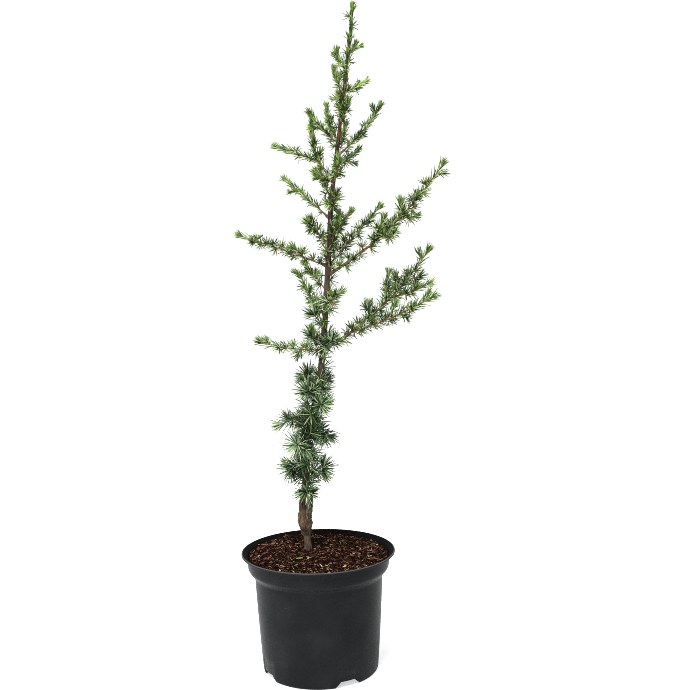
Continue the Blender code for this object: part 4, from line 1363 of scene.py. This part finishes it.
def spur_tufts(crown, stem, habit, length, turn):
    """Tufts of needles on short spurs along a stem, some of them on its bough."""
    rng = crown.rng
    needled = length - stem.start
    first = min(stem.start, FIRST_SPUR + FIRST_SPUR_SHARE * stem.start)
    distance = first + rng.uniform(*FIRST_SPUR_SPREAD)
    while habit.tuft_needles and stem.habit != "twig" and distance < stem.start + habit.tuft_end * needled:
        share = max((distance - stem.start) / needled, 0.0)
        centre, heading, side, up, wood = place_on(stem, distance, length)
        turn += GOLDEN_ANGLE
        outward = turned_to(side, up, turn)
        lean = math.radians(rng.uniform(*SPUR_LEAN))
        axis = (heading * math.cos(lean) + outward * math.sin(lean) + Vector((0, 0, SPUR_LIFT))).normalized()
        spur = centre + axis * (wood + rng.uniform(*SPUR_LENGTH)) * MM
        crown.spurs.append((centre, spur))
        count = round(habit.tuft_needles * crown.settings.density * rng.uniform(*TUFT_NUMBERS))
        deal = partial(tone_of, rng, stem.height, share, stem.needle)
        tuft(crown, spur, axis, count, stem.needle * SPUR_NEEDLE, deal, SPUR_SPREAD)
        distance += habit.tuft * rng.uniform(*TUFT_STEPS)


def tip_brush(crown, stem, habit, length):
    """Needles at the tip of a stem: a brush, or the star of a rosette."""
    centre, heading, _, _, _ = place_on(stem, length, length)
    deal = partial(tone_of, crown.rng, stem.height, 1.0, stem.needle)
    share = TWIG_TIP_NEEDLES if stem.habit == "twig" else 1.0
    count = round(habit.tip_needles * crown.settings.density * share)
    if stem.habit == "rosette":
        tuft(crown, centre, heading, count, stem.needle * ROSETTE_STRETCH, deal, ROSETTE_SPREAD)
    else:
        tuft(crown, centre, heading, count, stem.needle, deal, TIP_SPREAD)


def dress_stem(crown, stem):
    """Single needles, spurs with tufts, and the brush at the tip of one stem."""
    habit = HABITS["young" if stem.habit == "twig" else stem.habit]
    length = path_length(stem.points) / MM
    turn = single_needles(crown, stem, habit, length, crown.rng.uniform(0, math.tau))
    spur_tufts(crown, stem, habit, length, turn)
    tip_brush(crown, stem, habit, length)


def dress_trunk(crown, region):
    """Tufts on short spurs straight on the trunk, in one region of the crown."""
    rng = crown.rng
    turn = rng.uniform(0, math.tau)
    for low, high, spacing, number, needle in TRUNK_SPURS:
        height = low
        while height < high:
            height += spacing * rng.uniform(*SINGLE_STEPS)
            turn += GOLDEN_ANGLE
            if region_of(height) != region:
                continue
            rise = rng.uniform(*TRUNK_SPUR_RISE)
            outward = Vector((math.cos(turn), math.sin(turn), rise)).normalized()
            centre = trunk_centre(height)
            spur = centre + outward * (trunk_radius(height) + rng.uniform(*TRUNK_SPUR_LENGTH)) * MM
            crown.spurs.append((centre, spur))
            deal = partial(tone_of, rng, height, TRUNK_SPUR_SHARE, needle)
            count = round(number * rng.uniform(*TUFT_NUMBERS))
            tuft(crown, spur, outward, count, needle, deal, TRUNK_SPREAD)


def needle_arrays(needles):
    """Roots, leans, lengths, widths, curls and tones of needles as arrays."""
    columns = zip(*needles)
    return [np.array([tuple(v) if isinstance(v, Vector) else v for v in column]) for column in columns]


def needle_points(needles):
    """Corners of every needle: its rings from the foot on, and its point."""
    root, lean, length, width, curl, _ = needles
    hint = np.where(np.abs(lean[:, 2:3]) < 0.9, np.array([[0.0, 0.0, 1.0]]), np.array([[1.0, 0.0, 0.0]]))
    side = np.cross(lean, hint)
    side /= np.linalg.norm(side, axis=1, keepdims=True)
    up = np.cross(side, lean)
    sides = len(NEEDLE_CORNERS)
    verts = np.zeros((len(root), len(NEEDLE_RINGS) * sides + 1, 3))
    for ring, (share, thick) in enumerate(NEEDLE_RINGS):
        middle = root + lean * (length * share)[:, None] + curl * share * share
        for k, angle in enumerate(NEEDLE_CORNERS):
            out = side * math.cos(angle) + up * math.sin(angle) * NEEDLE_FLATNESS
            verts[:, ring * sides + k] = middle + out * (width * thick / 2)[:, None]
    verts[:, -1] = root + lean * length[:, None] + curl
    return verts


def needle_mesh(name, needles):
    """One mesh of all these needles: each a curved, tapering blade with three sides and a point."""
    arrays = needle_arrays(needles)
    verts = needle_points(arrays)
    count, tip, sides = len(verts), verts.shape[1] - 1, len(NEEDLE_CORNERS)
    last = tip - sides
    faces = sleeve(len(NEEDLE_RINGS) - 1, sides)
    faces += [(last + k, last + (k + 1) % sides, tip) for k in range(sides)] + [tuple(reversed(range(sides)))]
    corners = np.array([i for face in faces for i in face])
    sizes = np.array([len(face) for face in faces])
    loops = (corners[None, :] + (np.arange(count) * (tip + 1))[:, None]).ravel()
    totals = np.tile(sizes, count)
    starts = np.concatenate(([0], np.cumsum(totals)[:-1]))
    mesh = bpy.data.meshes.new(name)
    mesh.vertices.add(count * (tip + 1))
    mesh.vertices.foreach_set("co", verts.astype(np.float32).ravel())
    mesh.loops.add(len(loops))
    mesh.loops.foreach_set("vertex_index", loops.astype(np.int32))
    mesh.polygons.add(len(totals))
    mesh.polygons.foreach_set("loop_start", starts.astype(np.int32))
    mesh.polygons.foreach_set("material_index", np.repeat(arrays[-1], len(sizes)).astype(np.int32))
    mesh.update(calc_edges=True)
    return mesh


def needle_materials(settings):
    """Cedar needles, grown, in plain tones: a thin wax bloom makes them satin and pale at the edge."""
    made = []
    for name, code in TONES.items():
        material, _, _ = new_material(
            "waxed_needle_" + name, dyed(settings.tint, code), Roughness=settings.roughness,
            Specular_IOR_Level=0.22, Sheen_Weight=0.05, Sheen_Roughness=0.4,
        )
        made.append(material)
    return made


def region_of(height):
    """Name of the region of the crown at a height."""
    return next(name for name, low in REGIONS if height > low)


def stem_shape(stem, rng):
    """Wood of one stem: slim, tapering and knotty."""
    length = path_length(stem.points) / MM
    foot, tip = stem.radii
    knot, knot_length = STEM_KNOTS

    def radius_at(distance):
        """Radius in millimetres at a distance from the foot."""
        knots = knot * noise.noise(Vector((distance / knot_length, stem.height, 1.0)))
        return (foot + (tip - foot) * distance / length) * WOOD_SHARE + knots

    return tube(stem.points, radius_at, *STEM_TUBE, rng)


def stem_bark(stem):
    """Number of a stem's bark: green on the youngest twigs, orange on young stems, brown on old ones."""
    if stem.habit == "twig" and stem.height > GREEN_TWIGS_FROM:
        return GREEN
    return ORANGE if stem.needle < GLAUCOUS_NEEDLE else BROWN


def add_spurs(wood, spurs, radius, shape, rng):
    """Adds the short spurs that carry tufts."""
    for foot, tip in spurs:
        wood.add(*tube([foot, tip], lambda distance: radius, *shape, rng), BROWN)


def make_crown(settings):
    """Twigs, spurs and needles of the whole crown, each kind apart."""
    stems, _ = plan_stems()
    tones = needle_materials(settings)
    wood = Gather()
    rng = random.Random(CROWN_SEED)
    for region, _ in REGIONS:
        crown = Crown([], [], rng, settings)
        dress_trunk(crown, region)
        add_spurs(wood, crown.spurs, TRUNK_SPUR_RADIUS, TRUNK_SPUR_TUBE, rng)
        grown = [stem for stem in stems if region_of(stem.height) == region]
        for stem in grown:
            spurs = []
            dress_stem(crown._replace(spurs=spurs), stem)
            wood.add(*stem_shape(stem, rng), stem_bark(stem))
            add_spurs(wood, spurs, SPUR_RADIUS, SPUR_TUBE, rng)
        masses = dict.fromkeys("needles_" + stem.mass for stem in grown)
        piece = add_mesh("needles_" + region, needle_mesh("needles_" + region, crown.needles), tones, 60)
        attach(piece, "root")
        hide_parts(*masses)
    barks = [twig_bark(name, settings.twig_tint, codes) for name, codes in TWIG_BARKS.items()]
    twigs = wood.make("twigs_and_spurs", barks, smooth_angle=50)
    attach(twigs, "root")


# Stage


def matt_paper(settings):
    """Matt white studio paper: even, with a very faint mottling."""
    stops = shades(settings.floor_colour, ((0.3, 0.982), (0.7, 1.018)))
    made = mottled("matt_studio_paper", stops, 60, 2.0, Roughness=0.9)
    tree = made.node_tree
    shader = tree.nodes["Principled BSDF"]
    # It is seen brighter than the light that it throws back, as an overexposed studio floor is
    seen = add_node(tree, "ShaderNodeLightPath").outputs["Is Camera Ray"]
    glow = add_node(tree, "ShaderNodeMapRange", {"Value": seen, "To Min": 0.0, "To Max": settings.floor_glow})
    shader.inputs["Emission Color"].default_value = (1.0, 1.0, 1.0, 1.0)
    tree.links.new(glow.outputs["Result"], shader.inputs["Emission Strength"])
    return made


def add_light(name, place, size, power):
    """Soft rectangular light that faces the middle of the plant."""
    light = bpy.data.lights.new(name, "AREA")
    light.shape = "RECTANGLE"
    light.size, light.size_y = size
    light.energy = power
    made = bpy.data.objects.new(name, light)
    made.location = place
    made.rotation_euler = (Vector(LIT_POINT) - Vector(place)).to_track_quat("-Z", "Y").to_euler()
    bpy.context.scene.collection.objects.link(made)


def add_surroundings(settings):
    """White surroundings, seen at full brightness, which light the plant less, so that shade stays dark."""
    world = bpy.data.worlds.new("white_studio")
    world.use_nodes = True
    tree = world.node_tree
    seen = add_node(tree, "ShaderNodeLightPath").outputs["Is Camera Ray"]
    strength = add_node(
        tree, "ShaderNodeMapRange", {"Value": seen, "To Min": settings.surround, "To Max": 1.05},
    )
    back = tree.nodes["Background"]
    back.inputs["Color"].default_value = (1.0, 1.0, 1.0, 1.0)
    tree.links.new(strength.outputs["Result"], back.inputs["Strength"])
    bpy.context.scene.world = world


def add_camera(settings):
    """Camera at the place and angles that were fitted to the photo's pot."""
    camera = bpy.data.objects.new("camera", bpy.data.cameras.new("camera"))
    tilt = Matrix.Rotation(math.pi / 2 - settings.camera_pitch, 4, "X")
    roll = Matrix.Rotation(-settings.camera_roll, 4, "Z")
    camera.matrix_world = Matrix.Translation(settings.camera_place) @ tilt @ roll
    camera.data.sensor_width = SENSOR_WIDTH
    camera.data.lens = settings.lens
    camera.data.clip_end = VIEW_END
    bpy.context.scene.collection.objects.link(camera)
    bpy.context.scene.camera = camera


def make_stage(settings):
    """Pale floor, white surroundings, soft lights and the camera."""
    bm = bmesh.new()
    bmesh.ops.create_circle(bm, cap_ends=True, segments=FLOOR_SIDES, radius=settings.floor_radius)
    floor = add_bmesh("studio_floor", bm, [matt_paper(settings)])
    scene = bpy.context.scene
    scene.view_settings.view_transform = "Standard"
    scene.cycles.filter_width = settings.pixel_filter
    # Denoising would smear the needles
    scene.cycles.use_denoising = False
    add_surroundings(settings)
    for light in LIGHTS:
        add_light(light.name, light.place, light.size, getattr(settings, light.setting) * light.share)
    add_camera(settings)


# Settings that a user would change


def length_setting(name, description, default_mm):
    """Length that a user may change, with its default in millimetres."""
    return FloatProperty(name=name, description=description, default=default_mm * MM, unit="LENGTH", min=0.0)


def colour_setting(name, description, code="#ffffff"):
    """Colour that a user may change; white, as a tint, changes nothing."""
    return FloatVectorProperty(
        name=name, description=description, default=linear(code), subtype="COLOR", size=3, min=0.0, max=1.0,
    )


def light_setting(name, description, default):
    """Power of a light that a user may change."""
    return FloatProperty(name=name, description=description, default=default, unit="POWER", min=0.0)


class StageSettings(bpy.types.PropertyGroup):
    """Camera, floor and light"""

    camera_place: FloatVectorProperty(
        name="Camera", description="Where the camera stands", default=(0.039, -1.253, 0.526), unit="LENGTH",
    )
    camera_pitch: FloatProperty(
        name="Pitch", description="How far it looks down", default=math.radians(5.52), subtype="ANGLE",
    )
    camera_roll: FloatProperty(
        name="Roll", description="How far the picture is turned", default=math.radians(1.3), subtype="ANGLE",
    )
    pixel_filter: FloatProperty(name="Pixel filter", description="Softness in pixels", default=0.9, min=0.0)
    lens: FloatProperty(name="Lens", description="Focal length in millimetres", default=53.84)
    floor_radius: length_setting("Floor", "Radius of the floor", 6000)
    floor_colour: colour_setting("Floor colour", "Colour of the paper floor", "#f8f8f8")
    floor_glow: FloatProperty(name="Floor glow", description="Light that the floor gives off", default=0.55)
    surround: FloatProperty(name="Surround", description="Light from the white studio", default=0.5)
    side_light: light_setting("Side lights", "Power of the side lights", 6.0)
    front_light: light_setting("Front light", "Power of the strip in front", 9.0)
    top_light: light_setting("Top light", "Power of the light above", 46.0)


class PotSettings(bpy.types.PropertyGroup):
    """Pot"""

    segments: IntProperty(name="Segments", description="Faces round the pot", default=176, min=24)
    plastic: colour_setting("Plastic", "Colour of the moulded plastic", "#1e2021")
    # The scuffs' colour also paints the highlight along the lip's top edge
    scuffs: colour_setting("Scuffs", "Colour of the scuffs and the rubbed lip", "#585b5b")


class SoilSettings(bpy.types.PropertyGroup):
    """Soil and the flakes on it"""

    segments: IntProperty(name="Segments", description="Faces round the bed", default=200, min=24)
    ring_step: length_setting("Ring step", "Spacing of the bed's rings", 1.6)
    crumb_depth: length_setting("Crumbs", "Depth of the soil's crumbs", 4.0)
    flakes: IntProperty(name="Flakes", description="Bark flakes on the soil", default=2600, min=0)
    tint: colour_setting("Tint", "Tint of the soil")


class BarkSettings(bpy.types.PropertyGroup):
    """Trunk and boughs"""

    ring_step: length_setting("Ring step", "Spacing of the trunk's rings", 1.5)
    sides: IntProperty(name="Sides", description="Faces round the trunk", default=36, min=8)
    relief: FloatProperty(name="Relief", description="Depth of the furrows, as a share", default=1.0)
    tint: colour_setting("Tint", "Tint of the bark of trunk and boughs")


class CrownSettings(bpy.types.PropertyGroup):
    """Twigs and needles"""

    width: length_setting("Width", "Width of a needle", 1.4)
    density: FloatProperty(
        name="Density", description="Needles, as a share of the usual number", default=0.96, min=0.1,
    )
    roughness: FloatProperty(name="Roughness", description="Roughness of the needles", default=0.52)
    tint: colour_setting("Tint", "Tint of the needles")
    twig_tint: colour_setting("Twig tint", "Tint of the bark of twigs and spurs")


# Operators and the panel


class CEDAR_OT_stage(bpy.types.Operator):
    """Make the floor, lights, surroundings and camera"""

    bl_idname = "cedar.stage"
    bl_label = "Stage"

    def execute(self, context):
        """Runs it with the scene's settings."""
        make_stage(context.scene.cedar_stage)
        return {"FINISHED"}


class CEDAR_OT_pot(bpy.types.Operator):
    """Make the nursery pot"""

    bl_idname = "cedar.pot"
    bl_label = "Pot"

    def execute(self, context):
        """Runs it with the scene's settings."""
        make_pot(context.scene.cedar_pot)
        return {"FINISHED"}


class CEDAR_OT_soil(bpy.types.Operator):
    """Make the soil and the bark flakes on it"""

    bl_idname = "cedar.soil"
    bl_label = "Soil"

    def execute(self, context):
        """Runs it with the scene's settings."""
        make_soil(context.scene.cedar_soil)
        return {"FINISHED"}


class CEDAR_OT_bark(bpy.types.Operator):
    """Make the trunk and boughs with their bark"""

    bl_idname = "cedar.bark"
    bl_label = "Trunk and boughs"

    def execute(self, context):
        """Runs it with the scene's settings."""
        make_bark(context.scene.cedar_bark)
        return {"FINISHED"}


class CEDAR_OT_crown(bpy.types.Operator):
    """Make the twigs, spurs and needles"""

    bl_idname = "cedar.crown"
    bl_label = "Twigs and needles"

    def execute(self, context):
        """Runs it with the scene's settings."""
        make_crown(context.scene.cedar_crown)
        return {"FINISHED"}


OPERATORS = (CEDAR_OT_stage, CEDAR_OT_pot, CEDAR_OT_soil, CEDAR_OT_bark, CEDAR_OT_crown)
SETTINGS = {
    "cedar_stage": StageSettings,
    "cedar_pot": PotSettings,
    "cedar_soil": SoilSettings,
    "cedar_bark": BarkSettings,
    "cedar_crown": CrownSettings,
}


class CEDAR_PT_panel(bpy.types.Panel):
    """Lists the pieces with their settings"""

    bl_idname = "CEDAR_PT_panel"
    bl_label = "Potted cedar"
    bl_space_type = "VIEW_3D"
    bl_region_type = "UI"
    bl_category = "Cedar"

    def draw(self, context):
        """Shows each group of settings over the button that uses it."""
        for operator, (name, group) in zip(OPERATORS, SETTINGS.items()):
            box = self.layout.box()
            for key in group.__annotations__:
                box.prop(getattr(context.scene, name), key)
            box.operator(operator.bl_idname)


def register():
    """Adds the settings, operators and panel to Blender."""
    for kind in (*SETTINGS.values(), *OPERATORS, CEDAR_PT_panel):
        bpy.utils.register_class(kind)
    for name, group in SETTINGS.items():
        setattr(bpy.types.Scene, name, PointerProperty(type=group))


def unregister():
    """Takes the settings, operators and panel out of Blender."""
    for name in SETTINGS:
        delattr(bpy.types.Scene, name)
    for kind in reversed((*SETTINGS.values(), *OPERATORS, CEDAR_PT_panel)):
        bpy.utils.unregister_class(kind)


def main():
    """Makes every piece."""
    register()
    bpy.ops.cedar.stage()
    bpy.ops.cedar.pot()
    bpy.ops.cedar.soil()
    bpy.ops.cedar.bark()
    bpy.ops.cedar.crown()


if __name__ == "__main__":
    main()
